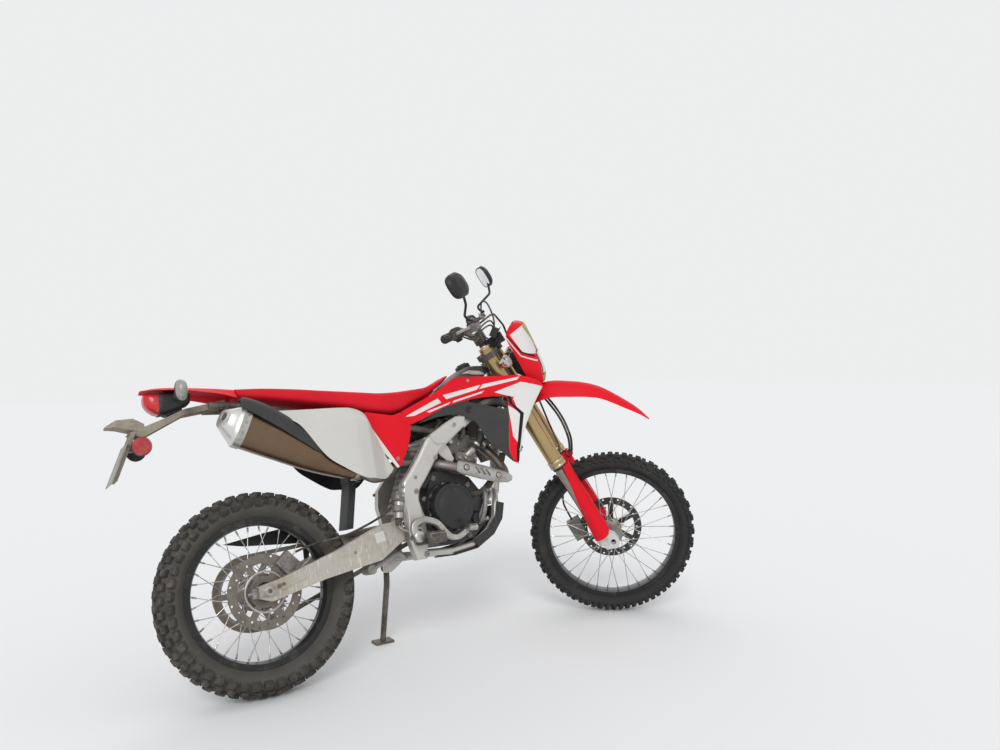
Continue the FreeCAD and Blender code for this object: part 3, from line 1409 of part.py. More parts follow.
def brake_hose():
    """The front brake's hose, from its cylinder over the bars to the caliper."""
    start = grip_line(191)[0]
    high = mm("bar_height")
    near = start.y - 32 - mm("seat_gap")
    hose = tube([(start.x + 66, -near, start.z - 14), (start.x + 66, 34 - near, start.z - 14),
                 (140, -96, high + 58), (136, 20, high - 10), (112, 84, high - 100), (92, 86, 760),
                 (88, 84, 620), (74, 62, 520), (60, 62, 420), (20, 62, 330), (-60, 66, 190),
                 (-66, 70, 112 + mm("seat_gap"))],
                4, (24, 40, 60, 90, 120, 120, 90, 90, 90, 90))
    return feature("brake_hose", hose, FORK)


# Side stand

def side_stand():
    """The leg from its pivot to a foot that lies flat on the road."""
    pivot = Vector(mm("stand_x"), mm("stand_y"), mm("stand_z"))
    road_x = mm("stand_foot_x")
    road_y = mm("stand_foot_y")
    lift = mm("foot_thickness")
    flat = CHASSIS.inverse()
    on_road = CHASSIS.multVec(Vector(road_x, road_y, 60))
    on_road.z = lift
    ankle = flat.multVec(on_road)
    leg = tube([pivot + Vector(0, 6, 0), pivot + Vector(0, 18, -60), ankle], mm("stand_radius"), 60)
    eye = Part.makeCylinder(19, 18, pivot - Vector(0, 5, 0), Vector(0, 1, 0))
    foot = box((-mm("foot_length") / 2, -mm("foot_width") / 2, 0),
               (mm("foot_length") / 2, mm("foot_width") / 2, lift))
    foot.Placement = flat.multiply(Placement(Vector(on_road.x, on_road.y, 0), Rotation()))
    bore = Part.makeCylinder(mm("stand_bolt_radius") + mm("axle_clearance"), 60, pivot - Vector(0, 30, 0),
                             Vector(0, 1, 0))
    return feature("side_stand", fused([leg, eye, foot]).cut(bore), CHASSIS)


for end, wheel_place in (("front", FRONT_WHEEL), ("rear", REAR_WHEEL)):
    tyre(end, wheel_place)
    rim(end, wheel_place)
    hub(end, wheel_place)
    spokes(end, wheel_place)
    spindle(end, wheel_place)
disc("front", FRONT_WHEEL, 1)
disc("rear", REAR_WHEEL, -1)
sprocket(REAR_WHEEL)

main_frame()
subframe()
swingarm()
rear_shock()
engine()
engine_covers()
cylinder_head()
airbox()
radiators()
fuel_tank()
seat()
side_pair("side_covers", SIDE_COVER, SIDE_COVER_PLAN, 0.08, ((498, 712, 5),),
          ((475, 851, 112.5, 75 + mm("rail_radius") + mm("seat_gap")),))
side_pair("tank_shrouds", SHROUD, SHROUD_PLAN, mm("shroud_tilt"))
side_pair("radiator_covers", LOUVRE,
          [(x, y + mm("panel_wall") + mm("seat_gap")) for x, y in SHROUD_PLAN], mm("shroud_tilt"),
          ((813, 884, 8),))
rear_panels()
rear_fender()
tail_light()
rear_signals()
plate_bracket()
number_plate()
exhaust_header()
header_guard()
muffler()
muffler_shield()
skid_plate()
foot_controls()
rear_caliper()
drive_chain()
chain_guard()

fork_clamps()
fork_outers()
fork_legs()
fork_guards()
handlebar()
hand_controls()
mirrors()
headlight_cowl()
headlight()
instrument()
front_fender()
front_signals()
front_caliper()
brake_hose()

side_stand()

doc.recompute()

# The origin lies on the road under the middle of the parked bike
low = Vector(1e9, 1e9, 1e9)
high = Vector(-1e9, -1e9, -1e9)
for node in nodes:
    for point in node.Shape.tessellate(0.2)[0]:
        low = Vector(min(low.x, point.x), min(low.y, point.y), min(low.z, point.z))
        high = Vector(max(high.x, point.x), max(high.y, point.y), max(high.z, point.z))
shift = Placement(Vector(-(low.x + high.x) / 2, -(low.y + high.y) / 2, 0), Rotation())
for node in nodes:
    node.Placement = shift.multiply(node.Placement)
doc.recompute()

for thing in doc.Objects:
    if "Invalid" in thing.State or "Error" in thing.State:
        raise RuntimeError("%s failed: %s" % (thing.Label, thing.State))
os.makedirs("parts", exist_ok=True)
for node in nodes:
    if node.Shape.isNull() or not node.Shape.isValid():
        raise RuntimeError("%s has no valid shape" % node.Label)
    node.Shape.exportStep("parts/%s.step" % node.Label)
print("low corner", tuple(round(v, 2) for v in low), "high corner", tuple(round(v, 2) for v in high))
print("shift", tuple(round(v, 3) for v in shift.Base), "nodes", len(nodes))
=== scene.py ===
import json
import math

import bpy
import numpy as np
from mathutils import Matrix


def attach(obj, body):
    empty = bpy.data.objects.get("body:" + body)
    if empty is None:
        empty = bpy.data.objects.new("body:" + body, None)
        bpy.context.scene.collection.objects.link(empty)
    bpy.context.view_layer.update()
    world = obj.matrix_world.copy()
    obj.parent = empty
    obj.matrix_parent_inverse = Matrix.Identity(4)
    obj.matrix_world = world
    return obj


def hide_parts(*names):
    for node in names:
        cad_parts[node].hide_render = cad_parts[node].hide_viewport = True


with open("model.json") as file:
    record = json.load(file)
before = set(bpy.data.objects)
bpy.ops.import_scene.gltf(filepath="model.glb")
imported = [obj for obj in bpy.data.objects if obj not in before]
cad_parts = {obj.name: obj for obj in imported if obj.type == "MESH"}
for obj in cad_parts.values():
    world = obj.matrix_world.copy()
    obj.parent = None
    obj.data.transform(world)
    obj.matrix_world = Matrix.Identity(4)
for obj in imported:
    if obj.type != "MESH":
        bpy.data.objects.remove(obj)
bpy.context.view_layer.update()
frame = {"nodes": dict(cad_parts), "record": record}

MM = 0.001
RAKE = math.radians(28.5)
AXLE_HIGH = 329
AXLE_AHEAD = 63
UP = (0, 0, 1)
OUT = (0, -1, 0)


def unit(vector):
    return np.asarray(vector, float) / np.linalg.norm(vector)


class Bench:
    """Axes on a body of the motorcycle, in which its pieces are drawn in millimetres."""

    def __init__(self, body, origin, x, y, z):
        self.body = body
        self.origin = np.asarray(origin, float)
        self.axes = np.array([unit(x), unit(y), unit(z)])

    def world(self, points):
        """Origin plus each coordinate times its axis, in metres."""
        return self.origin + np.asarray(points, float) @ self.axes * MM

    def at(self, x, y, z):
        """A bench with the same axes and its origin at a point of this one."""
        return Bench(self.body, self.world((x, y, z)), *self.axes)


HINGES = {joint["name"]: joint for joint in frame["record"]["behaviour"]["joints"]}


def hinge(name):
    """A joint's place and its axis."""
    return np.array(HINGES[name]["pos_m"]), unit(HINGES[name]["axis"])


def benches():
    """Chassis, fork and wheel axes from the places and axes of the joints."""
    rear, left = hinge("rear_wheel_spin")
    front, axle = hinge("front_wheel_spin")
    stem = hinge("steering")[1]
    lead = unit(np.cross(left, stem))
    ahead = math.cos(RAKE) * lead - math.sin(RAKE) * stem
    up = math.sin(RAKE) * lead + math.cos(RAKE) * stem
    chassis = Bench("chassis", rear - up * AXLE_HIGH * MM, ahead, left, up)
    forward = unit(np.cross(axle, stem))
    fork = Bench("steering", front - forward * AXLE_AHEAD * MM, forward, axle, stem)
    front_wheel = Bench("front_wheel", front, forward, axle, stem)
    return chassis, fork, front_wheel, Bench("rear_wheel", rear, ahead, left, up)


CHASSIS, FORK, FRONT, REAR = benches()


# Shapes: each is (points, faces) in millimetres

def outward(points, faces):
    """Turns the faces over if the volume that they enclose is negative."""
    volume = 0.0
    for block in faces:
        a = points[block[:, 0]]
        for k in range(1, block.shape[1] - 1):
            volume += np.einsum("ij,ij->", a, np.cross(points[block[:, k]], points[block[:, k + 1]]))
    return (points, faces) if volume > 0 else (points, [block[:, ::-1] for block in faces])


def skin(grid, loop=False, ends=True, around=True):
    """Quads over a grid of points; columns close round, and each end is a fan to its mean point."""
    rows, columns = grid.shape[:2]
    points = grid.reshape(-1, 3)
    index = np.arange(rows * columns).reshape(rows, columns)
    if around:
        index = np.concatenate([index, index[:, :1]], axis=1)
    if loop:
        index = np.concatenate([index, index[:1]], axis=0)
    quads = np.stack([index[:-1, :-1], index[1:, :-1], index[1:, 1:], index[:-1, 1:]], -1).reshape(-1, 4)
    faces = [quads]
    if ends and not loop:
        count = len(points)
        points = np.vstack([points, grid[0].mean(0), grid[-1].mean(0)])
        first, last = index[0], index[-1]
        faces.append(np.stack([first[:-1], first[1:], np.full(len(first) - 1, count)], -1))
        faces.append(np.stack([last[1:], last[:-1], np.full(len(last) - 1, count + 1)], -1))
    return outward(points, faces) if (around and (ends or loop)) else (points, faces)


def oval(a, b, count=24, power=2.0):
    """A superellipse: the cosine and sine each raised to two over the power."""
    t = np.linspace(0, 2 * math.pi, count, endpoint=False) + math.pi / count
    c, s = np.cos(t), np.sin(t)
    share = 2.0 / power
    return np.stack([a * np.sign(c) * abs(c) ** share, b * np.sign(s) * abs(s) ** share], -1)


def curve(points, count):
    """A smooth line through the points: cubic pieces whose slopes come from the neighbours."""
    points = np.asarray(points, float)
    padded = np.vstack([2 * points[0] - points[1], points, 2 * points[-1] - points[-2]])
    t = np.linspace(0, len(points) - 1, count)
    i = np.clip(t.astype(int), 0, len(points) - 2)
    f = (t - i)[:, None]
    p0, p1, p2, p3 = (padded[i + k] for k in range(4))
    return 0.5 * (2 * p1 + (p2 - p0) * f + (2 * p0 - 5 * p1 + 4 * p2 - p3) * f ** 2
                  + (3 * p1 - p0 - 3 * p2 + p3) * f ** 3)


def sweep(path, profile, up=None, scale=None):
    """A profile carried along a path: each ring is the path's point plus the profile on two axes across."""
    path = np.asarray(path, float)
    along = np.gradient(path, axis=0)
    along /= np.linalg.norm(along, axis=1, keepdims=True)
    if up is None:
        up = np.linalg.svd(along)[2][-1]
    side = np.cross(along, np.asarray(up, float))
    side /= np.linalg.norm(side, axis=1, keepdims=True)
    top = np.cross(side, along)
    rings = np.broadcast_to(profile, (len(path),) + np.asarray(profile).shape[-2:])
    if scale is not None:
        rings = rings * np.asarray(scale, float).reshape(len(path), 1, -1)
    return path[:, None] + side[:, None] * rings[..., :1] + top[:, None] * rings[..., 1:]


def hose(points, radius, count=40, sides=12):
    """A round tube on a smooth line, a little narrower at its two ends."""
    scale = np.ones(count)
    scale[[0, -1]] = 0.8
    return skin(sweep(curve(points, count), oval(radius, radius, sides), scale=scale))


def spun(profile, start, way, sides=32):
    """Rings of the profile's radii at its distances along an axis, closed at both ends."""
    profile = np.asarray(profile, float)
    way = unit(way)
    side = unit(np.cross(way, (0.31, 0.17, 0.94) if abs(way[2]) < 0.8 else (1, 0, 0)))
    top = np.cross(side, way)
    ring = oval(1, 1, sides)
    flat = ring[:, :1] * side + ring[:, 1:] * top
    grid = np.asarray(start, float) + profile[:, 1, None, None] * way + profile[:, 0, None, None] * flat
    return skin(grid)


def wheel(profile, sides=128):
    """A closed profile of radius and place across, turned about the axle."""
    profile = np.asarray(profile, float)
    t = np.linspace(0, 2 * math.pi, sides, endpoint=False)[:, None]
    r, y = profile[:, 0], profile[:, 1]
    return skin(np.stack([r * np.cos(t), y + 0 * t, r * np.sin(t)], -1), loop=True)


def bar(start, end, half, high, power=6.0, edge=1.2, up=UP, sides=24):
    """A straight bar with a squarish section and softened ends."""
    start, end = np.asarray(start, float), np.asarray(end, float)
    length = np.linalg.norm(end - start)
    shares = np.array([0, edge / length, 1 - edge / length, 1])[:, None]
    ends = 1 - edge / min(half, high)
    return skin(sweep(start + (end - start) * shares, oval(half, high, sides, power), up, [ends, 1, 1, ends]))


def cap_screw(at, way, radius, height):
    """A round head with a chamfer and a blind socket."""
    return spun([(radius, -0.6), (radius, height * 0.75), (radius * 0.85, height), (radius * 0.5, height),
                 (radius * 0.5, height * 0.45)], at, way, 14)


def round_axle(shape, count, start=0.0):
    """Copies of a shape turned about the axle, evenly."""
    points, faces = shape
    t = start + np.linspace(0, 2 * math.pi, count, endpoint=False)
    c, s, o, i = np.cos(t), np.sin(t), np.zeros(count), np.ones(count)
    turns = np.stack([np.stack([c, o, -s], -1), np.stack([o, i, o], -1), np.stack([s, o, c], -1)], 1)
    copies = np.einsum("kij,nj->kni", turns, points).reshape(-1, 3)
    shift = (np.arange(count) * len(points))[:, None, None]
    return copies, [(block[None] + shift).reshape(-1, block.shape[1]) for block in faces]


def other_side(shape):
    """The mirror image across the middle of the bench."""
    points, faces = shape
    return points * (1, -1, 1), [block[:, ::-1] for block in faces]


def moved(shape, by=(0, 0, 0), turn=None):
    """A shape turned by a matrix and moved."""
    points, faces = shape
    if turn is not None:
        points = points @ np.asarray(turn).T
    return points + np.asarray(by, float), faces


def about_y(angle):
    """The matrix of a turn about the bench's left axis, in degrees."""
    c, s = math.cos(math.radians(angle)), math.sin(math.radians(angle))
    return np.array([[c, 0, s], [0, 1, 0], [-s, 0, c]])


def leaf(stations, depth, wall=3.0, rows=14, count=64, roll=2.0, crown=0.0, side=-1):
    """A bent panel between two edge lines.

    Each station pairs a point of one edge with one of the other, as x, z, x, z. The panel runs
    straight between them; its place across is the depth at x and z, plus a crown that is a
    parabola from edge to edge, less a small roll at both edges. The back is the wall further in.
    """
    stations = curve(stations, count)
    v = np.linspace(0, 1, rows)[None, :, None]
    flat = stations[:, None, :2] * (1 - v) + stations[:, None, 2:] * v
    v = v[..., 0]
    rise = crown * 4 * v * (1 - v) - roll * (abs(2 * v - 1) ** 10)
    out = depth(flat[..., 0], flat[..., 1]) + rise
    front = np.stack([flat[..., 0], side * out, flat[..., 1]], -1)
    inner = out - wall + 0.8 * roll * (abs(2 * v - 1) ** 10)
    back = np.stack([flat[..., 0], side * inner, flat[..., 1]], -1)
    return skin(np.concatenate([front, back[:, ::-1]], 1))


def flat_at(depth):
    """A panel's place across that is the same everywhere."""
    return lambda x, z: depth + 0 * x


def gutter(stations, wall=3.0, count=90, sides=21, lip=0.0, ridge=0.0):
    """A mudguard: arched rings across a smooth path of x and z.

    Each station is x, z, half width, drop of the edges. Across, the drop grows as the share to
    the power of 2.6, and a ridge stands along the middle.
    """
    s = curve(stations, count)
    path = np.stack([s[:, 0], 0 * s[:, 0], s[:, 1]], -1)
    along = np.gradient(path, axis=0)
    along /= np.linalg.norm(along, axis=1, keepdims=True)
    normal = np.stack([-along[:, 2], 0 * along[:, 0], along[:, 0]], -1)
    normal *= np.where(normal[:, 2:] < 0, -1, 1)
    a = np.linspace(-1, 1, sides)
    fall = abs(a) ** 2.6 - ridge * np.exp(-(a / 0.22) ** 2) + lip * np.exp(-((abs(a) - 0.78) / 0.1) ** 2)

    def rings(inset):
        across = (s[:, 2:3] - inset) * a
        down = s[:, 3:4] * fall + inset * (1 - abs(a) ** 3)
        return path[:, None] + np.array([0, 1.0, 0]) * across[..., None] - normal[:, None] * down[..., None]

    return skin(np.concatenate([rings(0.0), rings(wall)[:, ::-1]], 1))


class Piece:
    """One object on a bench, made of shapes that each have their own finish, or look."""

    def __init__(self, name, bench):
        self.name, self.bench = name, bench
        self.points, self.faces, self.finishes, self.slots, self.flat = [], [], [], [], []
        self.count = 0

    def add(self, shape, look, bench=None):
        """Adds a shape; its x and z in metres become the drawing that patches lie on."""
        points, faces = shape
        if look not in self.finishes:
            self.finishes.append(look)
        self.points.append((bench or self.bench).world(points))
        self.flat.append(points[:, (0, 2)] * MM)
        for block in faces:
            self.faces += (block + self.count).tolist()
            self.slots += [self.finishes.index(look)] * len(block)
        self.count += len(points)
        return self

    def both(self, shape, look):
        """A shape and its mirror image."""
        return self.add(shape, look).add(other_side(shape), look)

    def screws(self, places, way, radius, height, look, mirrored=False):
        """Cap screws of one size at several places, on both sides if mirrored."""
        for place in places:
            (self.both if mirrored else self.add)(cap_screw(place, way, radius, height), look)

    def done(self, *covers, slot=None, sharp=38):
        """Makes the object, rides it on its body, and hides the nodes that it replaces."""
        mesh = bpy.data.meshes.new(self.name)
        mesh.from_pydata(np.vstack(self.points).tolist(), [], self.faces)
        for look in self.finishes:
            mesh.materials.append(look)
        mesh.polygons.foreach_set("material_index", np.array(self.slots, np.int32))
        corner = np.empty(len(mesh.loops), np.int32)
        mesh.loops.foreach_get("vertex_index", corner)
        mesh.uv_layers.new(name="drawing").data.foreach_set("uv", np.vstack(self.flat)[corner].ravel())
        mesh.shade_smooth()
        mesh.set_sharp_from_angle(angle=math.radians(sharp))
        thing = bpy.data.objects.new(self.name, mesh)
        bpy.context.collection.objects.link(thing)
        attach(thing, self.bench.body)
        if covers:
            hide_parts(*covers)
        return thing


# Finishes

def new_group(name, inputs, outputs):
    """An empty shader node group with its sockets; each input is name, kind and value."""
    group = bpy.data.node_groups.new(name, "ShaderNodeTree")
    for label, kind, value in inputs:
        socket = group.interface.new_socket(label, in_out="INPUT", socket_type="NodeSocket" + kind)
        if value is not None:
            socket.default_value = value
    for label, kind in outputs:
        group.interface.new_socket(label, in_out="OUTPUT", socket_type="NodeSocket" + kind)
    return group, group.nodes.new("NodeGroupInput").outputs, group.nodes.new("NodeGroupOutput").inputs


def node(tree, kind, inputs=(), **settings):
    """A node with its settings, and inputs given as values or as sockets to link."""
    made = tree.nodes.new("ShaderNode" + kind)
    for key, value in settings.items():
        setattr(made, key, value)
    for key, value in dict(inputs).items():
        if isinstance(value, bpy.types.NodeSocket):
            tree.links.new(value, made.inputs[key])
        else:
            made.inputs[key].default_value = value
    return made


def mixed(tree, share, first, second):
    """One colour mixed into another by a share."""
    made = node(tree, "Mix", {"Factor": share}, data_type="RGBA")
    for socket, value in ((made.inputs[6], first), (made.inputs[7], second)):
        if isinstance(value, bpy.types.NodeSocket):
            tree.links.new(value, socket)
        else:
            socket.default_value = (*value, 1.0)[:4]
    return made.outputs[2]


def dirt_group():
    """Dust and mud: two noises, one coarse and one fine, cut by a threshold, mix a dirt colour in."""
    group, given, result = new_group(
        "dirt", (("Color", "Color", None), ("Dirt", "Color", None), ("Vector", "Vector", None),
                 ("Scale", "Float", 9.0), ("Share", "Float", 0.3)), (("Color", "Color"), ("Mask", "Float")))
    coarse = node(group, "TexNoise", {"Vector": given["Vector"], "Scale": given["Scale"], "Detail": 6.0,
                                      "Roughness": 0.62})
    fine = node(group, "Math", {0: given["Scale"], 1: 9.0}, operation="MULTIPLY")
    speck = node(group, "TexNoise", {"Vector": given["Vector"], "Scale": fine.outputs[0], "Detail": 4.0})
    total = node(group, "Math", {0: coarse.outputs[0], 1: 0.7, 2: 0.15}, operation="MULTIPLY_ADD")
    total = node(group, "Math", {0: speck.outputs[0], 1: 0.35, 2: total.outputs[0]}, operation="MULTIPLY_ADD")
    above = node(group, "Math", {0: total.outputs[0], 1: given["Share"]}, operation="ADD")
    cut = {"Value": above.outputs[0], "From Min": 0.72, "From Max": 1.08}
    mask = node(group, "MapRange", cut, clamp=True)
    group.links.new(mixed(group, mask.outputs[0], given["Color"], given["Dirt"]), result["Color"])
    group.links.new(mask.outputs[0], result["Mask"])
    return group


def grain_group():
    """Fine unevenness of a surface: the sum of a small noise and the distance to a cell's middle."""
    group, given, result = new_group("grain", (("Vector", "Vector", None), ("Scale", "Float", 400.0)),
                                     (("Height", "Float"),))
    noise = node(group, "TexNoise", {"Vector": given["Vector"], "Scale": given["Scale"], "Detail": 3.0})
    cells = node(group, "TexVoronoi", {"Vector": given["Vector"], "Scale": given["Scale"]})
    total = node(group, "Math", {0: noise.outputs[0], 1: cells.outputs[0]}, operation="ADD")
    group.links.new(total.outputs[0], result["Height"])
    return group


def patch_group():
    """A four-sided patch on a drawing: the least of four straight-line distances, made a soft step."""
    lines = tuple(("Line %d" % k, "Vector", (0.0, 0.0, 1.0)) for k in range(4))
    group, given, result = new_group("patch", (("Vector", "Vector", None),) + lines, (("Mask", "Float"),))
    split = node(group, "SeparateXYZ", {0: given["Vector"]})
    spot = node(group, "CombineXYZ", {0: split.outputs[0], 1: split.outputs[1], 2: 1.0})
    least = None
    for k in range(4):
        pair = {0: spot.outputs[0], 1: given["Line %d" % k]}
        far = node(group, "VectorMath", pair, operation="DOT_PRODUCT")
        least = far.outputs["Value"] if least is None else node(
            group, "Math", {0: least, 1: far.outputs["Value"]}, operation="MINIMUM").outputs[0]
    step = node(group, "MapRange", {"Value": least, "From Min": -0.0004, "From Max": 0.0004}, clamp=True)
    group.links.new(step.outputs[0], result["Mask"])
    return group


DIRT, GRAIN, PATCH = dirt_group(), grain_group(), patch_group()


def placed(tree, group, inputs):
    """A group's node, with inputs given as values or as sockets to link."""
    made = tree.nodes.new("ShaderNodeGroup")
    made.node_tree = group
    for key, value in inputs.items():
        if isinstance(value, bpy.types.NodeSocket):
            tree.links.new(value, made.inputs[key])
        else:
            made.inputs[key].default_value = value
    return made


def patch_lines(corners):
    """Inward straight lines through a four-sided patch's corners, in metres."""
    corners = np.asarray(corners, float) * MM
    ahead = np.roll(corners, -1, axis=0) - corners
    area = np.sum(corners[:, 0] * np.roll(corners[:, 1], -1) - corners[:, 1] * np.roll(corners[:, 0], -1))
    normal = np.stack([-ahead[:, 1], ahead[:, 0]], -1) * np.sign(area)
    normal /= np.linalg.norm(normal, axis=1, keepdims=True)
    offset = -np.sum(normal * corners, axis=1)
    return np.column_stack([normal, offset])


def finish(name, colour, rough=0.5, metal=0.0, tone=None, tone_scale=14.0, tone_span=(0.35, 0.75),
           dirt=(0.25, 0.21, 0.16), dirt_share=0.1, dirt_scale=9.0, grain=0.0, grain_scale=500.0,
           coat=0.0, patches=(), stretch=None, shine=0.5):
    """A surface: base colour with a slow change of tone, painted patches, dirt, and a fine grain."""
    material = bpy.data.materials.new(name)
    material.use_nodes = True
    tree = material.node_tree
    shader = tree.nodes["Principled BSDF"]
    place = node(tree, "TexCoord")
    where = place.outputs["Object"]
    if stretch is not None:
        turned = {"Vector": where, "Scale": stretch[0], "Rotation": stretch[1]}
        where = node(tree, "Mapping", turned).outputs[0]
    tone = tone or tuple(c * 0.72 for c in colour)
    slow = node(tree, "TexNoise", {"Vector": where, "Scale": tone_scale, "Detail": 5.0})
    share = node(tree, "MapRange", {"Value": slow.outputs[0], "From Min": tone_span[0],
                                     "From Max": tone_span[1]}, clamp=True)
    paint = mixed(tree, share.outputs[0], colour, tone)
    for shade, corners in patches:
        lines = patch_lines(corners)
        mask = placed(tree, PATCH, {"Vector": place.outputs["UV"],
                                    **{"Line %d" % k: tuple(lines[k]) for k in range(4)}})
        paint = mixed(tree, mask.outputs[0], paint, shade)
    dirty = placed(tree, DIRT, {"Color": paint, "Dirt": (*dirt, 1.0), "Vector": place.outputs["Object"],
                                "Scale": dirt_scale, "Share": dirt_share})
    tree.links.new(dirty.outputs["Color"], shader.inputs["Base Color"])
    dull = node(tree, "MapRange", {"Value": dirty.outputs["Mask"], "To Min": rough,
                                   "To Max": min(1.0, rough + 0.35)})
    tree.links.new(dull.outputs[0], shader.inputs["Roughness"])
    shader.inputs["Metallic"].default_value = metal
    shader.inputs["Coat Weight"].default_value = coat
    shader.inputs["Specular IOR Level"].default_value = shine
    shader.inputs["Coat Roughness"].default_value = 0.12
    if grain:
        height = placed(tree, GRAIN, {"Vector": where, "Scale": grain_scale}).outputs[0]
        bump = node(tree, "Bump", {"Height": height, "Strength": grain, "Distance": 0.0006})
        tree.links.new(bump.outputs[0], shader.inputs["Normal"])
    return material


RED = (0.78, 0.010, 0.022)
WHITE = (0.72, 0.70, 0.67)
BLACK = (0.012, 0.012, 0.013)
LIME = (0.38, 0.34, 0.10)
PALE = (0.62, 0.58, 0.50)


def shaded(shade, *corners):
    """Four-sided patches of one shade, each given by its corners' x and z."""
    return tuple((shade, four) for four in corners)


SHROUD_PATCHES = shaded(
    WHITE,
    ((984, 880), (1031, 842), (1013, 790), (984, 826)), ((984, 828), (1013, 790), (1000, 720), (981, 756)),
    ((560, 866), (700, 927), (714, 911), (600, 868)), ((722, 938), (884, 969), (866, 951), (736, 922)),
    ((894, 971), (1050, 990), (1036, 978), (876, 953)), ((650, 880), (752, 911), (742, 902), (662, 876)),
    ((766, 915), (896, 945), (884, 936), (758, 906)), ((937, 936), (1050, 968), (1100, 900), (1006, 913)),
    ((1048, 968), (1152, 946), (1108, 872), (1008, 900)),
    ((1010, 905), (1112, 885), (1048, 778), (1022, 846)),
    ((1026, 848), (1054, 806), (1010, 700), (1000, 716)), ((1002, 720), (1012, 706), (994, 660), (984, 660)),
) + shaded(
    BLACK,
    ((988, 918), (1003, 914), (1004, 882), (993, 879)), ((992, 888), (1004, 886), (1042, 842), (1030, 834)),
    ((1028, 848), (1042, 844), (1002, 714), (990, 716)), ((989, 720), (1002, 716), (986, 656), (976, 656)),
)
COWL_PATCHES = shaded(
    WHITE, ((150, 938), (213, 944), (206, 850), (158, 852)), ((158, 854), (206, 856), (200, 814), (166, 843)),
) + shaded(
    BLACK, ((136, 942), (141, 942), (144, 920), (139, 920)), ((139, 922), (144, 922), (157, 855), (151, 853)),
    ((150, 856), (156, 857), (191, 814), (186, 809)),
) + shaded(
    WHITE, ((129, 936), (133, 937), (146, 845), (142, 842)), ((142, 842), (146, 845), (190, 792), (186, 788)),
) + shaded(
    LIME, ((206, 944), (224, 944), (224, 864), (209, 864)), ((208, 866), (224, 866), (214, 780), (200, 788)),
    ((199, 790), (214, 784), (176, 690), (160, 698)),
)
SIDE_PATCHES = shaded(WHITE, ((398, 835), (420, 828), (506, 676), (468, 676)))
TANK_PATCHES = shaded(PALE, ((847, 1030), (889, 1047), (938, 1043), (972, 1028)))

TYRE_GRAIN = {"grain": 0.5, "grain_scale": 260}
CAST_GRAIN = {"grain": 0.5, "grain_scale": 900}
MOULD_GRAIN = {"grain": 0.35, "grain_scale": 1100}
RED_LOOK = {"rough": 0.5, "tone_scale": 3, "shine": 0.12}
STRIPED = {"tone": (0.68, 0.008, 0.018), "dirt_share": -0.2, "coat": 0.03, **RED_LOOK}
SOOT = (0.12, 0.10, 0.08)

TYRE_BLACK = finish("tyre_black", (0.017, 0.0165, 0.016), 0.8, tone=(0.024, 0.0235, 0.022),
                    dirt=(0.10, 0.085, 0.065), dirt_share=0.0, dirt_scale=14, **TYRE_GRAIN)
TYRE_DUSTY = finish("tyre_dusty", (0.085, 0.077, 0.066), 0.9, tone=(0.062, 0.057, 0.050),
                    dirt=(0.15, 0.13, 0.10), dirt_share=0.02, **TYRE_GRAIN)
TYRE_BLOCK = finish("tyre_block", (0.034, 0.032, 0.029), 0.85, tone=(0.055, 0.051, 0.045),
                    dirt=(0.20, 0.17, 0.135), dirt_share=0.08, dirt_scale=26, **TYRE_GRAIN)
RIM_BLACK = finish("rim_black", (0.016, 0.016, 0.017), 0.3, 0.3, dirt=(0.12, 0.105, 0.085),
                   dirt_share=0.02, dirt_scale=16)
SPOKE = finish("spoke_wire", (0.62, 0.61, 0.59), 0.3, 0.9)
HUB = finish("hub_cast", (0.42, 0.41, 0.40), 0.45, 0.8, dirt_share=0.22, dirt_scale=20, grain=0.2)
DISC = finish("disc_ground", (0.20, 0.185, 0.16), 0.42, 0.7, tone=(0.12, 0.11, 0.095), tone_scale=40,
              dirt_share=0.12, dirt_scale=30)
DISC_BLACK = finish("disc_black", (0.045, 0.043, 0.04), 0.36, 0.6, tone=(0.08, 0.075, 0.068),
                    tone_scale=40, dirt_share=0.02, dirt_scale=30)
SPAR = finish("spar_alloy", (0.58, 0.56, 0.515), 0.38, 0.6, tone=(0.53, 0.51, 0.47), tone_scale=5,
              dirt_share=-0.02, dirt_scale=8, grain=0.1, grain_scale=700)
ARM = finish("arm_alloy", (0.47, 0.44, 0.385), 0.5, 0.5, tone=(0.66, 0.62, 0.55), tone_scale=42,
             tone_span=(0.59, 0.63), dirt=(0.34, 0.29, 0.22), dirt_scale=7,
             stretch=((5.5, 1, 0.55), (0, 0.25, 0)), grain=0.2)
STEEL_DARK = finish("steel_black", (0.02, 0.02, 0.021), 0.45, 0.1, dirt_share=0.18, dirt_scale=14)
CAST = finish("cast_alloy", (0.36, 0.355, 0.35), 0.5, 0.7, tone=(0.22, 0.215, 0.21), tone_scale=30,
              dirt=(0.16, 0.13, 0.10), dirt_share=0.22, dirt_scale=20, **CAST_GRAIN)
CAST_DARK = finish("cast_dark", (0.07, 0.07, 0.07), 0.55, 0.4, dirt=(0.14, 0.12, 0.095),
                   dirt_share=0.22, dirt_scale=18, **CAST_GRAIN)
COVER = finish("cover_black", (0.014, 0.014, 0.0145), 0.34, 0.1, tone=(0.022, 0.022, 0.022),
               tone_scale=20, dirt_share=-0.06, dirt_scale=24, grain=0.2)
PLASTIC = finish("plastic_black", (0.020, 0.020, 0.021), 0.55, dirt=SOOT, dirt_share=0.02,
                 dirt_scale=11, **MOULD_GRAIN)
CLEAN_BLACK = finish("plastic_clean", (0.014, 0.014, 0.015), 0.45, tone=(0.02, 0.02, 0.021),
                     dirt_share=-0.2, grain=0.2, grain_scale=1100, shine=0.35)
GREY = finish("plastic_grey", (0.032, 0.0315, 0.031), 0.55, tone=(0.040, 0.0395, 0.039),
              dirt_share=-0.05, dirt_scale=12, shine=0.35, **MOULD_GRAIN)
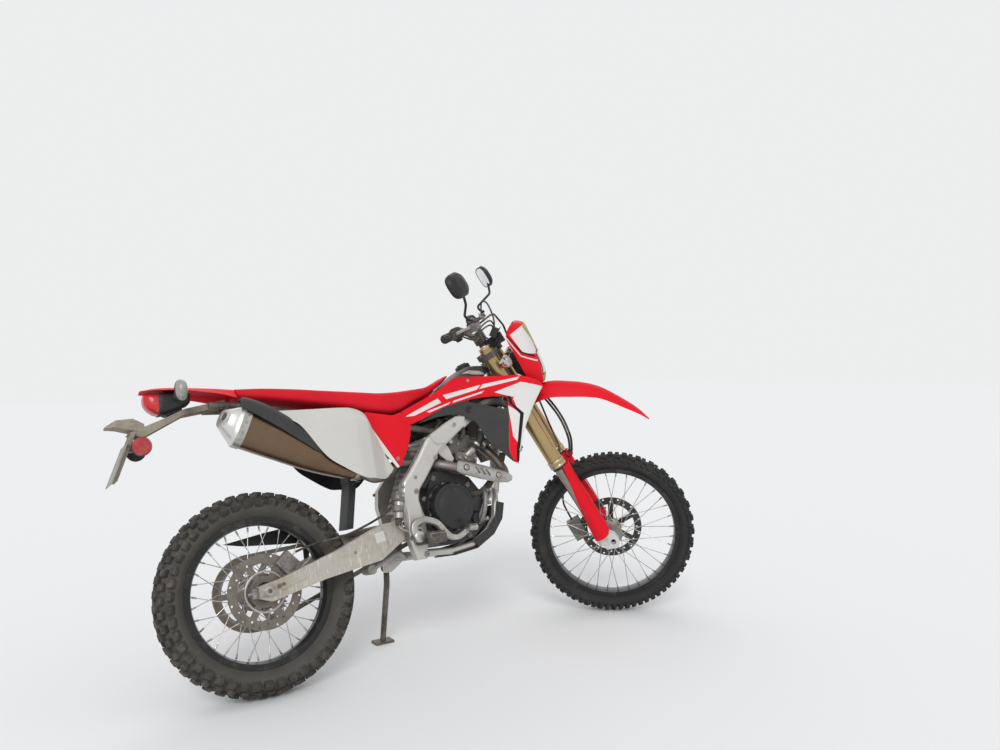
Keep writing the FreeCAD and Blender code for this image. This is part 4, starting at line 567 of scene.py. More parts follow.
RED_PLAIN = finish("plastic_red", RED, tone=(0.66, 0.008, 0.018), dirt_share=-0.2, **RED_LOOK)
RED_SHROUD = finish("plastic_red_striped", RED, patches=SHROUD_PATCHES, **STRIPED)
RED_SIDE = finish("plastic_red_side", RED, tone=(0.66, 0.008, 0.018), dirt_share=-0.1,
                  patches=SIDE_PATCHES, **RED_LOOK)
RED_COWL = finish("plastic_red_cowl", RED, patches=COWL_PATCHES, **STRIPED)
WHITE_PANEL = finish("plastic_white", (0.60, 0.585, 0.54), 0.42, tone=(0.56, 0.545, 0.50),
                     tone_scale=5, dirt_share=-0.02, dirt_scale=6)
SEAT_RED = finish("seat_red", (0.72, 0.010, 0.022), 0.65, tone=(0.62, 0.008, 0.018), tone_scale=5,
                  dirt_share=-0.15, grain=0.6, grain_scale=650, shine=0.2)
TANK = finish("tank_cover_grey", (0.05, 0.05, 0.053), tone=(0.075, 0.075, 0.078), dirt_share=0.05,
              grain=0.3, grain_scale=900, patches=TANK_PATCHES)
SILVER_LENS = finish("silver_lens", (0.36, 0.355, 0.33), 0.3, 0.3, tone=(0.27, 0.265, 0.25),
                     tone_scale=60, coat=0.4, dirt_share=0.08)
RED_ROUND = finish("reflector_red", (0.45, 0.008, 0.012), 0.25, tone=(0.30, 0.006, 0.010),
                   tone_scale=90, coat=0.6, dirt_share=0.05)
RED_LENS = finish("red_lens", (0.62, 0.02, 0.026), 0.22, tone=(0.46, 0.012, 0.018), tone_scale=30,
                  dirt_share=0.0, coat=0.3, shine=0.3)
CLEAR_LENS = finish("clear_lens", (0.70, 0.70, 0.68), 0.1, 0.1, tone=(0.44, 0.44, 0.44), tone_scale=90,
                    coat=1.0, dirt_share=0.0)
RED_METAL = finish("clamp_red", (0.50, 0.010, 0.014), 0.35, 0.3, dirt_share=-0.05, coat=0.2)
SCREEN = finish("display_glass", (0.05, 0.055, 0.05), 0.12, dirt_share=0.0, coat=0.6)
CASE_BLACK = finish("case_black", (0.022, 0.022, 0.0225), 0.45, 0.2, tone=(0.034, 0.033, 0.032),
                    tone_scale=24, dirt=SOOT, dirt_share=0.02, dirt_scale=20, grain=0.4, grain_scale=900)
HEAD = finish("head_alloy", (0.20, 0.195, 0.19), 0.5, 0.7, tone=(0.12, 0.118, 0.115), tone_scale=30,
              dirt=SOOT, dirt_share=0.12, dirt_scale=20, **CAST_GRAIN)
MUFFLER = finish("muffler_bronze", (0.15, 0.095, 0.058), 0.3, 0.85, tone=(0.21, 0.14, 0.09),
                 tone_scale=5, dirt=(0.10, 0.075, 0.055), dirt_share=0.02, dirt_scale=5)
CAP = finish("muffler_cap", (0.68, 0.67, 0.65), 0.34, 0.7, tone=(0.62, 0.61, 0.59), tone_scale=5,
             dirt_share=-0.05, dirt_scale=10)
HEADER = finish("header_pipe", (0.34, 0.33, 0.33), 0.36, 0.9, tone=(0.20, 0.22, 0.30), tone_scale=9,
                dirt=(0.20, 0.14, 0.08), dirt_share=0.22, dirt_scale=12)
GUARD = finish("header_guard", (0.55, 0.54, 0.52), 0.35, 0.85, tone=(0.42, 0.41, 0.39), tone_scale=26,
               dirt_share=0.12, dirt_scale=14)
GOLD = finish("fork_gold", (0.47, 0.345, 0.165), 0.27, 0.85, tone=(0.40, 0.29, 0.14), tone_scale=6,
              dirt_share=-0.05)
GOLD_BRIGHT = finish("fork_ring", (0.62, 0.53, 0.38), 0.28, 0.85, dirt_share=0.08)
CHROME = finish("fork_chrome", (0.62, 0.61, 0.60), 0.14, 1.0, tone=(0.52, 0.50, 0.47), dirt_share=0.05)
TUBE = finish("fork_tube", (0.34, 0.31, 0.265), 0.26, 0.9, tone=(0.27, 0.245, 0.21), tone_scale=9,
              dirt_share=0.0)
FOOT = finish("fork_foot", (0.68, 0.67, 0.65), 0.4, 0.5, tone=(0.58, 0.57, 0.55), dirt_share=0.04,
              dirt_scale=14)
RUBBER = finish("rubber_black", (0.018, 0.018, 0.018), 0.75, dirt_scale=18, grain=0.5, grain_scale=800)
BRIGHT = finish("bright_steel", (0.58, 0.57, 0.55), 0.32, 0.9, tone=(0.40, 0.38, 0.36), tone_scale=40,
                dirt_share=0.16, dirt_scale=25)
BOLT = finish("bolt_steel", (0.40, 0.39, 0.37), 0.4, 0.9, dirt_share=0.2, dirt_scale=40)
CHAIN = finish("chain_steel", (0.17, 0.155, 0.135), 0.45, 0.8, tone=(0.28, 0.25, 0.21), tone_scale=60,
               dirt_share=0.2, dirt_scale=30)
TAN = finish("dusty_plastic", (0.20, 0.175, 0.14), 0.8, tone=(0.10, 0.09, 0.075), tone_scale=20,
             dirt=(0.36, 0.31, 0.24), dirt_share=0.3, dirt_scale=14, grain=0.5)
PLATE = finish("blank_plate", (0.52, 0.50, 0.46), 0.5, 0.2, tone=(0.36, 0.34, 0.30), tone_scale=16,
               dirt=(0.20, 0.17, 0.13), dirt_share=0.24, dirt_scale=12)
MIRROR = finish("mirror_glass", (0.78, 0.79, 0.80), 0.03, 1.0, tone=(0.76, 0.77, 0.78), dirt_share=0.0)
FINS = finish("radiator_fins", (0.12, 0.12, 0.12), 0.5, 0.6, grain=0.8, dirt_share=0.2,
              stretch=((0.2, 1, 6), (0, 0, 0)))
SPRING = finish("spring_paint", (0.55, 0.54, 0.51), 0.4, dirt=(0.20, 0.17, 0.13), dirt_share=0.2,
                dirt_scale=20)


# Wheels

def arc_radius(half, crown):
    """The tread's arc: its radius from its half width and from half its crown."""
    drop = crown / 2
    return (half ** 2 + drop ** 2) / (2 * drop)


def carcass(radius, half, crown, lip, bead, rim_half, wall=9.0):
    """A tyre's section: an arc over the tread, a bulged sidewall to the bead, and the inside."""
    drop = crown / 2
    big = arc_radius(half, crown)
    outer = [(radius - big + math.sqrt(big ** 2 - (half * k) ** 2), half * k) for k in np.linspace(-1, 1, 17)]
    foot = rim_half - 3
    side = [(radius - drop - s * (radius - drop - lip),
             half + (foot - half) * s ** 1.7 + 3.0 * math.sin(math.pi * s)) for s in np.linspace(0.12, 1, 8)]
    left = side + [(bead, foot), (bead, foot - wall)]
    inside = [(r - wall - 4, y * 0.8) for r, y in outer[::-1]]
    return outer + left + inside + [(r, -y) for r, y in left[::-1]]


def knob(radius, place, length, wide, high, lean):
    """A tread block: a squarish tapered stub from the carcass, leaning out with the tread's arc."""
    profile = oval(length / 2, wide / 2, 16, 7)
    rows = np.array([(-7.0, 1.10), (high * 0.45, 1.0), (high - 1.0, 0.95), (high, 0.88)])
    up = np.array([math.cos(lean), math.sin(lean), 0.0])
    side = np.array([-math.sin(lean), math.cos(lean), 0.0])
    ring = profile[:, :1] * np.array([0, 0, 1.0]) + profile[:, 1:] * side
    grid = np.array([radius, place, 0.0]) + rows[:, 0, None, None] * up + rows[:, 1, None, None] * ring
    return skin(grid)


def tyre(end, bench, section, plain, knobs, reach, rows):
    """A carcass with rows of blocks: count, place across as a share, length, width, height, start share.

    The reach is the blocks' radius, half width and crown: each block's top stands on the arc that they give.
    """
    piece = Piece(end + "_tyre_tread", bench)
    piece.add(wheel(carcass(*section), 144), plain)
    radius, half, crown = reach
    big = arc_radius(half, crown)
    for count, share, length, wide, high, start in rows:
        for side in (-1, 1):
            y = side * share * half
            lean = math.asin(y / big)
            base = radius - big + big * math.cos(lean) - high
            piece.add(round_axle(knob(base, y, length, wide, high, lean), count, start * 2 * math.pi / count),
                      knobs)
    piece.done(end + "_tyre", slot=end + "_tyre_rubber")


SPOKES = 36


def wire_spokes(end, bench, half, flange, reach, gap):
    """Round wires: a bend at the hub's flange, a straight run to the rim and a nipple there."""
    piece = Piece(end + "_wheel_spokes", bench)
    lean = math.radians(52)
    hole = (flange - 5) * math.cos(lean), (flange - 5) * math.sin(lean)
    count = SPOKES // 4
    for side in (-1, 1):
        for way in (-1, 1):
            face = half + gap if way > 0 else half - 12
            a = np.array([hole[0], side * face, way * hole[1]])
            b = np.array([reach, side * (9 if way > 0 else 3), 0.0])
            start = (0.5 if side > 0 else 0.0) + (0.25 if way > 0 else 0.0)
            wire = skin(sweep(a + (b - a) * np.array([0, 0.03, 0.93, 1.0])[:, None], oval(1.45, 1.45, 8)))
            nipple = spun([(2.6, -16), (3.1, -13), (3.1, -1.0), (2.6, 0)], b, b - a, 8)
            hook = spun([(3.0, -2.5), (3.4, 0), (2.4, 2.5)], a, (0, side, 0), 8)
            angle = start * 2 * math.pi / count + math.pi / SPOKES
            for shape in (wire, nipple, hook):
                piece.add(round_axle(shape, count, angle), SPOKE)
    piece.done(end + "_spokes", slot="spoke_steel")


tyre("front", FRONT, (334, 40, 45, 280, 267, 26), TYRE_BLACK, TYRE_BLACK, (343.8, 40.8, 45),
     ((36, 0.26, 20, 17, 12, 0.0), (36, 0.62, 17, 15, 12, 0.5), (72, 0.90, 14, 12, 12, 0.25)))
tyre("rear", REAR, (315, 57, 66, 243, 229, 34), TYRE_DUSTY, TYRE_BLOCK, (327.8, 60.0, 66),
     ((46, 0.20, 25, 21, 14, 0.0), (46, 0.58, 23, 21, 14, 0.5), (46, 0.93, 26, 20, 16, 0.2)))
wire_spokes("front", FRONT, 35.3, 44, 256.5, 3.9)
wire_spokes("rear", REAR, 43.7, 60, 213.5, 5.2)


# Panels

def between(table):
    """Straight-line values between the rows of a plan of x and y."""
    xs, ys = zip(*table)
    return lambda x: np.interp(x, xs, ys)


SHROUD_PLAN = between(((540, 116), (700, 132), (860, 150), (970, 172), (1070, 196), (1130, 200), (1180, 188)))


def shrouds():
    """The tank shroud: a bar along the tank and a fin down the radiator, and the grille inside it.

    Both lie on the plan's place across, which shrinks by 0.06 of the height; a soft fold runs along the bar.
    """
    def depth(x, z):
        fold = np.exp(-((z - 940 - 0.1 * (x - 700)) / 26) ** 2)
        return SHROUD_PLAN(x) - 0.06 * (z - 640) + 7 * fold - 3

    def inner(x, z):
        return SHROUD_PLAN(x) - 0.06 * (z - 640) - 5.5

    piece = Piece("tank_shroud_pair", CHASSIS)
    stations = ((553, 888, 576, 834), (618, 916, 652, 861), (681, 944, 714, 889), (740, 979, 770, 904),
                (790, 1006, 815, 912), (860, 1006, 870, 919), (949, 1002, 930, 921), (1040, 998, 974, 918),
                (1110, 978, 986, 914), (1160, 952, 988, 900), (1133, 925, 986, 882), (1081, 857, 982, 838),
                (1034, 778, 970, 780), (1001, 695, 957, 705), (992, 668, 963, 676), (984, 650, 972, 656))
    piece.both(leaf(stations, depth, 3.2, count=110, rows=18, roll=2.5), RED_SHROUD)
    places = [(x, -depth(x, z) - 0.5, z) for x, z in ((838, 990), (1000, 700))]
    piece.screws(places, OUT, 6.5, 2.4, BRIGHT, True)
    piece.done("tank_shrouds", slot="red_plastic")

    piece = Piece("radiator_cover_pair", CHASSIS)
    stations = ((612, 840, 618, 839), (671, 868, 680, 854), (714, 893, 712, 859), (787, 912, 767, 861),
                (844, 903, 815, 842), (900, 888, 842, 828), (961, 870, 853, 812), (996, 876, 862, 794),
                (990, 840, 868, 776), (985, 800, 876, 758), (977, 765, 890, 738), (972, 730, 922, 706),
                (972, 700, 945, 682), (979, 664, 964, 662), (983, 652, 976, 654))
    piece.both(leaf(stations, inner, 3.0, count=80, rows=14, roll=2.0), GREY)
    # A dark disc in the cover's hole: painted shade that stands for the shaded space seen through the hole.
    hole = (826, -(float(inner(826, 876)) + 0.4), 876)
    piece.both(spun([(14, -0.4), (14, 0.8), (11, 1.0), (10, 0.2)], hole, OUT, 28), CLEAN_BLACK)
    path = [(1004, -126, 884), (962, -128, 900), (900, -118, 898), (852, -96, 872)]
    piece.both(hose(path, 14, 50, 18), RUBBER)
    # A flat dark sheet deep inside, between the cover and the shroud: painted shade that stands for the
    # shaded recess and the dark parts in it.
    shade_sheet = ((846, 930, 850, 836), (900, 934, 900, 830), (985, 926, 985, 838))
    piece.both(leaf(shade_sheet, flat_at(104), 3.0, rows=8, count=24, roll=1.5), CASE_BLACK)
    piece.done("radiator_covers", slot="grey_plastic")


def side_panels():
    """The red covers under the seat, with a white band along their lower edge, and the rear panels.

    The right rear panel stands out over the muffler; the left one is slimmer, and a thin dark sheet just
    inside it is painted shade on its inner face.
    """
    def cover(x, z):
        return 125 - 0.06 * (z - 669) + 5 * np.exp(-((x - 500) / 60) ** 2)

    piece = Piece("side_cover_pair", CHASSIS)
    stations = ((388, 853, 402, 891), (410, 815, 455, 881), (435, 766, 505, 873), (455, 735, 549, 880),
                (474, 708, 572, 832), (488, 688, 558, 770), (495, 680, 528, 716), (500, 682, 512, 692))
    piece.both(leaf(stations, cover, 3.0, count=60, rows=14, roll=2.2), RED_SIDE)
    piece.screws([(500, -cover(500, 712) - 0.4, 712)], OUT, 7, 2.2, BOLT, True)
    piece.done("side_covers", slot="red_plastic")

    plan = between(((60, 224), (200, 219), (330, 213), (380, 197), (440, 150), (490, 134)))
    slim = between(((60, 112), (200, 124), (330, 132), (490, 134)))

    def right(x, z):
        return plan(x) - 0.1 * (np.minimum(z, 850) - 633) - 0.9 * np.maximum(z - 850, 0) - 2.0

    def left(x, z):
        return slim(x) - 0.08 * (z - 633)

    # A thin dark sheet just inside the left panel: painted shade on its inner face.
    def shade_lining(x, z):
        return left(x, z) - 2.2

    piece = Piece("rear_panel_pair", CHASSIS)
    stations = ((70, 899, 74, 902), (105, 865, 150, 903), (142, 828, 210, 904), (205, 735, 300, 905),
                (264, 690, 350, 900), (330, 652, 386, 878), (370, 646, 388, 850), (404, 643, 433, 762),
                (438, 645, 462, 706), (462, 662, 478, 680))
    for depth, wall, roll, side, look in (
            (right, 3.0, 2.5, -1, WHITE_PANEL), (left, 2.0, 2.5, 1, WHITE_PANEL),
            (shade_lining, 1.0, 0.5, 1, CLEAN_BLACK)):
        piece.add(leaf(stations, depth, wall, count=60, rows=20, roll=roll, side=side), look)
    for far, near, high in ((-146, -81.6, 898), (99, 81.6, 901)):
        piece.add(bar((200, far, high), (200, near, high), 6.5, 6.5, 2, 1), PLASTIC)
    piece.done("rear_panels", slot="white_plastic")


def mudguards():
    """Front and rear mudguards: arched rings that narrow to their tips."""
    piece = Piece("front_mudguard", FORK)
    stations = ((-34, 670, 50, 26), (0, 689, 58, 36), (60, 698, 64, 50), (164, 688, 68, 56),
                (253, 635, 67, 52), (312, 587, 64, 44), (355, 535, 58, 34), (408, 440, 47, 22),
                (431, 387, 36, 12), (445, 337, 12, 3))
    piece.add(gutter(stations, 3.0, 110, 25, lip=0.06, ridge=0.03), RED_PLAIN)
    piece.screws(((20, -26, 693), (62, -26, 697)), UP, 7, 3, BOLT, True)
    piece.done("front_fender", slot="red_plastic")
    piece = Piece("rear_mudguard", CHASSIS)
    stations = ((-31, 1008, 84, 42), (-90, 1013, 80, 30), (-190, 1019, 68, 18), (-270, 1021, 54, 14),
                (-321, 1015, 30, 5))
    piece.add(gutter(stations, 3.2, 70, 25, lip=0.1, ridge=0.05), RED_PLAIN)
    piece.done("rear_fender", slot="red_plastic")


shrouds()
side_panels()
mudguards()


# Seat and tank

def squarish(rows, count, sides, power, waist=1.0):
    """Squarish rings on a smooth line: x, half width, low and high edge; the waist scales the width."""
    s = curve(rows, count)
    ring = oval(1, 1, sides, power)
    middle, high = (s[:, 2] + s[:, 3]) / 2, (s[:, 3] - s[:, 2]) / 2
    return np.stack([s[:, :1] + 0 * ring[:, 0], s[:, 1:2] * ring[:, 0] * waist,
                     middle[:, None] + high[:, None] * ring[:, 1]], -1)


def seat():
    """The seat: squarish rings whose width shrinks to the top and bottom, with a seam round the lower edge.

    The seam is a small bell-shaped dip in the width at one height.
    """
    rows = ((-30, 60, 975, 1004), (0, 76, 965, 1002), (60, 95, 952, 999), (160, 106, 936, 992),
            (250, 111, 920, 984), (330, 112, 906, 978), (403, 111, 892, 973), (460, 108, 884, 969),
            (505, 103, 879, 969), (560, 96, 889, 972), (618, 87, 918, 978), (690, 74, 950, 988),
            (760, 65, 996, 1016), (788, 56, 1019, 1030))
    across, share = oval(1, 1, 56, 4.2).T
    tuck = np.where(share < 0, 1 - 0.06 * share ** 2, 1 - 0.10 * share ** 6)
    seam = 1 - 0.022 * np.exp(-((share + 0.15) / 0.07) ** 2) * (abs(across) > 0.6)
    piece = Piece("seat_cushion", CHASSIS)
    piece.add(skin(squarish(rows, 130, 56, 4.2, tuck * seam)), SEAT_RED)
    piece.done("seat", slot="seat_cover", sharp=60)


def tank():
    """The tank's dark cover with its pale patch, and the cap with its mark."""
    rows = ((650, 60, 873, 922), (700, 74, 872, 942), (740, 83, 873, 962), (800, 87, 876, 1010),
            (858, 87, 925, 1050), (902, 64, 962, 1070), (960, 60, 1016, 1071), (1002, 44, 1050, 1060))
    piece = Piece("tank_and_cap", CHASSIS)
    piece.add(skin(squarish(rows, 70, 48, 3.4)), TANK)
    cap = [(31, 0), (31, 12), (29, 18), (20, 21), (19, 24), (0.5, 25)]
    piece.add(spun(cap, (903, 0, 1064), (-12, 0, 30), 40), PLASTIC)
    piece.add(bar((29.5, -3, 0), (29.5, 3, 0), 2.0, 2.0, 4, 0.6), PLASTIC, CHASSIS.at(903, 0, 1080))
    for side in (-1, 1):
        piece.add(bar((810, side * 70, 960), (810, side * 117.8, 960), 8, 8, 2, 1), PLASTIC)
    piece.done("fuel_tank", slot="tank_cover", sharp=50)


seat()
tank()


# Exhaust

TAIL = np.array((-58.0, -148, 858))
NOSE = np.array((352.0, -146, 670))
PIPE = unit(NOSE - TAIL)
LENGTH = np.linalg.norm(NOSE - TAIL)
ACROSS = np.array([0, 1.0, 0])
MUFFLER_POWER = 2.7


def rising(vector):
    """The unit vector or its opposite, whichever points up."""
    vector = unit(vector)
    return vector if vector[2] > 0 else -vector


def silencer():
    """Oval rings along the muffler's axis: place as a share of its length, half width, half height, rise.

    Behind the tail each ring is slanted: it is sheared along the axis by a share of its place across.
    """
    up = rising(np.cross(ACROSS, PIPE))

    def rings(rows, power=MUFFLER_POWER):
        rows = np.array(rows, float)
        ring = oval(1, 1, 56, power)
        centre = TAIL + rows[:, :1] * LENGTH * PIPE + rows[:, 3:4] * up
        wide = rows[:, 1:2] * ring[:, 0]
        slant = 0.42 * np.clip((-0.03 - rows[:, :1]) / 0.085, 0, 1)
        return (centre[:, None] + (ACROSS - PIPE * slant[..., None]) * wide[..., None]
                + up * (rows[:, 2:3] * ring[:, 1])[..., None])

    piece = Piece("silencer", CHASSIS)
    body = curve(((0, 50, 67, 0), (0.3, 49, 63, 0), (0.62, 46, 56, 0), (0.9, 32, 37, 0), (1, 22, 22, 0)), 60)
    piece.add(skin(rings(body)), MUFFLER)
    cap = curve(((0.004, 50.4, 67.4, 0), (-0.006, 50.4, 67.4, 0.3), (-0.018, 48.5, 64.5, 1),
                 (-0.055, 41, 52, 3), (-0.092, 33.5, 39.5, 5.5), (-0.112, 29.5, 33, 7),
                 (-0.116, 27, 30, 7)), 40)
    piece.add(skin(rings(cap)), CAP)
    mouth = np.array((0, -5.0, 0)) + up * 12 + PIPE * 2
    lip = ((-0.112, 16, 17, 0), (-0.124, 16, 17, 0), (-0.124, 13.4, 14.4, 0), (-0.112, 13.4, 14.4, 0))
    piece.add(skin(rings(lip, 2.0) + mouth, loop=True), CAP)
    # A dark disc just inside the outlet: partly the pipe's real soot, partly painted shade of its deep
    # inside.
    piece.add(skin(rings(((-0.1185, 13.2, 14.2, 0), (-0.1175, 13.2, 14.2, 0)), 2.0) + mouth), STEEL_DARK)
    for band in (((-0.004, 51, 68, 0), (-0.002, 53, 70, 0), (0.05, 52.6, 69.4, 0), (0.054, 50, 67, 0)),
                 ((0.93, 31, 35, 0), (0.935, 33, 37, 0), (0.965, 30, 33, 0), (0.97, 27, 30, 0))):
        piece.add(skin(rings(band)), BRIGHT)
    first = TAIL + PIPE * LENGTH * 0.024
    places = [first + up * 67 * k + np.array([0, -51 + abs(k) * 4, 0]) for k in (-0.4, 0.1, 0.5)]
    piece.screws(places, OUT, 4.5, 3, BOLT)
    piece.done("muffler", slot="muffler_metal", sharp=50)


def silencer_shield():
    """Part of an oval shell over the muffler, from a fixed angle below to the height where its edge runs."""
    up = rising(np.cross(ACROSS, PIPE))
    rows = curve(((-0.055, 54, 78, 8), (-0.045, 58, 83, 9), (0.02, 59, 88, 9), (0.12, 59.5, 90, 8),
                  (0.22, 59, 86, 7), (0.38, 57, 76, 5), (0.55, 54, 66, 4), (0.66, 48.5, 57, 5)), 70)
    low = np.interp(rows[:, 0], (-0.055, 0.031, 0.288, 0.562, 0.643, 0.67), (52, 45, 27, 3, 2, 4))
    share = np.clip((low - rows[:, 3]) / rows[:, 2], -1, 1)
    edge = math.pi - np.arcsin(np.sign(share) * abs(share) ** (MUFFLER_POWER / 2))
    begin = math.radians(66)
    turn = begin + (edge - begin)[:, None] * np.linspace(0, 1, 34)
    c, s = np.cos(turn), np.sin(turn)

    def cover(inset):
        centre = TAIL + rows[:, :1] * LENGTH * PIPE + rows[:, 3:4] * up
        wide = (rows[:, 1:2] - inset) * np.sign(c) * abs(c) ** (2 / MUFFLER_POWER)
        tall = (rows[:, 2:3] - inset) * np.sign(s) * abs(s) ** (2 / MUFFLER_POWER)
        return centre[:, None] + ACROSS * wide[..., None] + up * tall[..., None]

    piece = Piece("silencer_shield", CHASSIS)
    piece.add(skin(np.concatenate([cover(0.0), cover(3.4)[:, ::-1]], 1)), GREY)
    piece.done("muffler_shield", slot="black_plastic", sharp=50)


def header():
    """The pipe from the head, round the front and back inside the spar to the muffler, with its flange."""
    end = NOSE + PIPE * 0.4
    path = [(852, -20, 770), (896, -34, 752), (936, -70, 694), (944, -118, 630), (905, -146, 606),
            (840, -144, 626), (775, -140, 645), (700, -110, 672), (652, -72, 690), (590, -66, 696),
            (520, -70, 697), (470, -94, 666), tuple(end + PIPE * 46), tuple(end)]
    piece = Piece("header_pipe_run", CHASSIS)
    piece.add(hose(path, 18.6, 150, 28), HEADER)
    piece.add(spun([(22, 0), (24, 2), (24, 10), (21, 12)], (849, -19, 771), (44, -12, -17), 32), CAST)
    piece.done("exhaust_header", slot="header_steel", sharp=60)


def header_guard():
    """The guard: arcs round the pipe whose angle narrows to both ends, swollen a little in the middle."""
    front, back = np.array((905.0, -146, 606)), np.array((775.0, -142, 646))
    way = unit(front - back)
    start = back - way * 62
    rows = np.array([0.0, 6, 30, 110, 190, 222, 236])
    wide = np.radians([30, 46, 62, 66, 58, 40, 16])
    angle = np.linspace(-1, 1, 19)[None] * wide[:, None]
    side = unit(np.array([0, -1.0, 0]) + way * way[1])
    top = rising(np.cross(way, side))

    def shell(radius):
        swell = radius + 1.2 * np.cos(np.pi * rows / rows[-1] - math.pi / 2)[:, None]
        return (start + rows[:, None, None] * way + (swell * np.cos(angle))[..., None] * side
                + (swell * np.sin(angle))[..., None] * top)

    piece = Piece("header_guard_shell", CHASSIS)
    piece.add(skin(np.concatenate([shell(28.2), shell(25.4)[:, ::-1]], 1)), GUARD)
    # Three dark slashes laid over the guard's slots: painted shade in the slots.
    slash = unit(way * 0.75 - top * 0.66) * 15
    for place in (86, 108, 130):
        spot = start + way * place + side * 28.9
        piece.add(bar(spot - slash, spot + slash, 3.6, 0.7, 3, 0.5, up=side), STEEL_DARK)
    for place in (38, 176):
        spot = start + way * place
        washer = [(12.5, -1), (12.5, 1.2), (9, 1.5), (8.4, 0.4)]
        piece.add(spun(washer, spot + side * 28.4, side, 28), STEEL_DARK)
        piece.add(cap_screw(spot + side * 28.6, side, 8, 3), BRIGHT)
    for place in (72, 146):
        spot = start + way * place
        piece.add(bar(spot + side * 19.4, spot + side * 27, 6, 6, 4, 1, up=way), BOLT)
    piece.done("header_guard", slot="guard_steel", sharp=50)


silencer()
silencer_shield()
header()
header_guard()


# Lamps and nose

def squircles(rows, power=4.0, sides=48, way=0):
    """Squarish rings on a straight line: place, middle of the two other axes, half width and half height."""
    rows = np.array(rows, float)
    ring = oval(1, 1, sides, power)
    a = rows[:, 1:2] + rows[:, 3:4] * ring[:, 0]
    b = rows[:, 2:3] + rows[:, 4:5] * ring[:, 1]
    far = rows[:, :1] + 0 * a
    return np.stack([far, a, b] if way == 0 else [a, far, b], -1)


COWL = curve(((700, 167, 150, 44), (712, 177, 138, 56), (728, 186, 126, 70), (765, 197, 118, 90),
              (815, 203, 122, 100), (870, 210, 126, 105), (925, 215, 128, 100), (948, 213, 138, 90),
              (964, 198, 158, 70), (970, 188, 170, 56)), 70)
COWL_FRONT, COWL_SIDE = 0.62, 0.86


def nose():
    """The cowl: at each height half a flattened ring from back edge to back edge, and a copy of it inside.

    Its rows are height, front, back and half width; the cosine and the sine are raised to two powers.
    """
    t = np.linspace(-1, 1, 49) * math.pi / 2

    def ring(inset):
        reach = COWL[:, 1:2] - COWL[:, 2:3] - inset
        x = COWL[:, 2:3] + reach * abs(np.cos(t)) ** COWL_FRONT
        y = (COWL[:, 3:4] - inset) * np.sign(t) * abs(np.sin(t)) ** COWL_SIDE
        return np.stack([x, y, COWL[:, :1] + 0 * x], -1)

    piece = Piece("nose_cowl", FORK)
    piece.add(skin(np.concatenate([ring(0.0), ring(3.0)[:, ::-1]], 1)), RED_COWL)
    piece.done("headlight_cowl", slot="red_plastic", sharp=50)


LAMP_HIGH = 775


def pane(half, tall, out, back, soft):
    """A squarish pane that follows the cowl's front and stands out from it, rounded off at its rim."""
    z = np.linspace(LAMP_HIGH - tall, LAMP_HIGH + tall, 25)[:, None]
    y = np.linspace(-half, half, 33)[None]
    wide, front, rear = (np.interp(z, COWL[:, 0], COWL[:, k]) for k in (3, 1, 2))
    s = (abs(y) / wide) ** (1 / COWL_SIDE)
    rim = np.maximum(abs(y) / half, abs(z - LAMP_HIGH) / tall) ** 10
    x = rear + (front - rear) * np.sqrt(1 - s ** 2) ** COWL_FRONT + out - soft * rim
    flat = np.stack([x, y + 0 * z, z + 0 * y], -1)
    return skin(np.concatenate([flat, (flat - (back, 0, 0))[:, ::-1]], 1))


def headlight():
    """The lamp: its shell of squarish rings, a dark pane and a clear one, and the display behind it."""
    piece = Piece("headlight_unit", FORK)
    shell = ((84, 0, 817, 40, 36), (90, 0, 816, 46, 42), (104, 0, 813, 60, 58), (134, 0, 802, 63, 68),
             (146, 0, 786, 60, 58), (176, 0, 775, 53, 48), (184, 0, 775, 50, 44))
    piece.add(skin(squircles(shell, 4.5)), PLASTIC)
    piece.add(pane(54, 49, 1.4, 4.0, 1.0), CLEAN_BLACK)
    piece.add(pane(49, 44, 2.4, 4.0, 0.6), CLEAR_LENS)
    piece.done("headlight", slot="lamp_lens", sharp=45)
    piece = Piece("display_screen", FORK)
    face = skin(squircles(((16, 0, 0, 46, 11), (21, 0, 0, 46, 11), (21.6, 0, 0, 44, 10)), 6))
    piece.add(moved(face, (96, 0, 978), about_y(-35)), SCREEN)
    piece.done()


def front_indicators():
    """Round signals: a bright cup on a stalk and a silver domed lens that looks ahead."""
    piece = Piece("front_signal_pair", FORK)
    cup = [(9, -6), (16, 0), (22, 12), (26.5, 22), (27, 30), (25.5, 32), (24.5, 30)]
    lens = [(24.4, 28), (25, 33), (22.5, 38), (16, 42), (8, 44), (1, 44.6)]
    for profile, look in ((cup, CHROME), (lens, SILVER_LENS)):
        piece.both(spun(profile, (66, -162, 860), (1, 0, 0), 40), look)
    piece.both(hose([(58.3, -129.3, 860), (68, -142, 860), (84, -156, 860)], 8, 12, 14), RUBBER)
    piece.done("front_signals", slot="signal_lens", sharp=40)


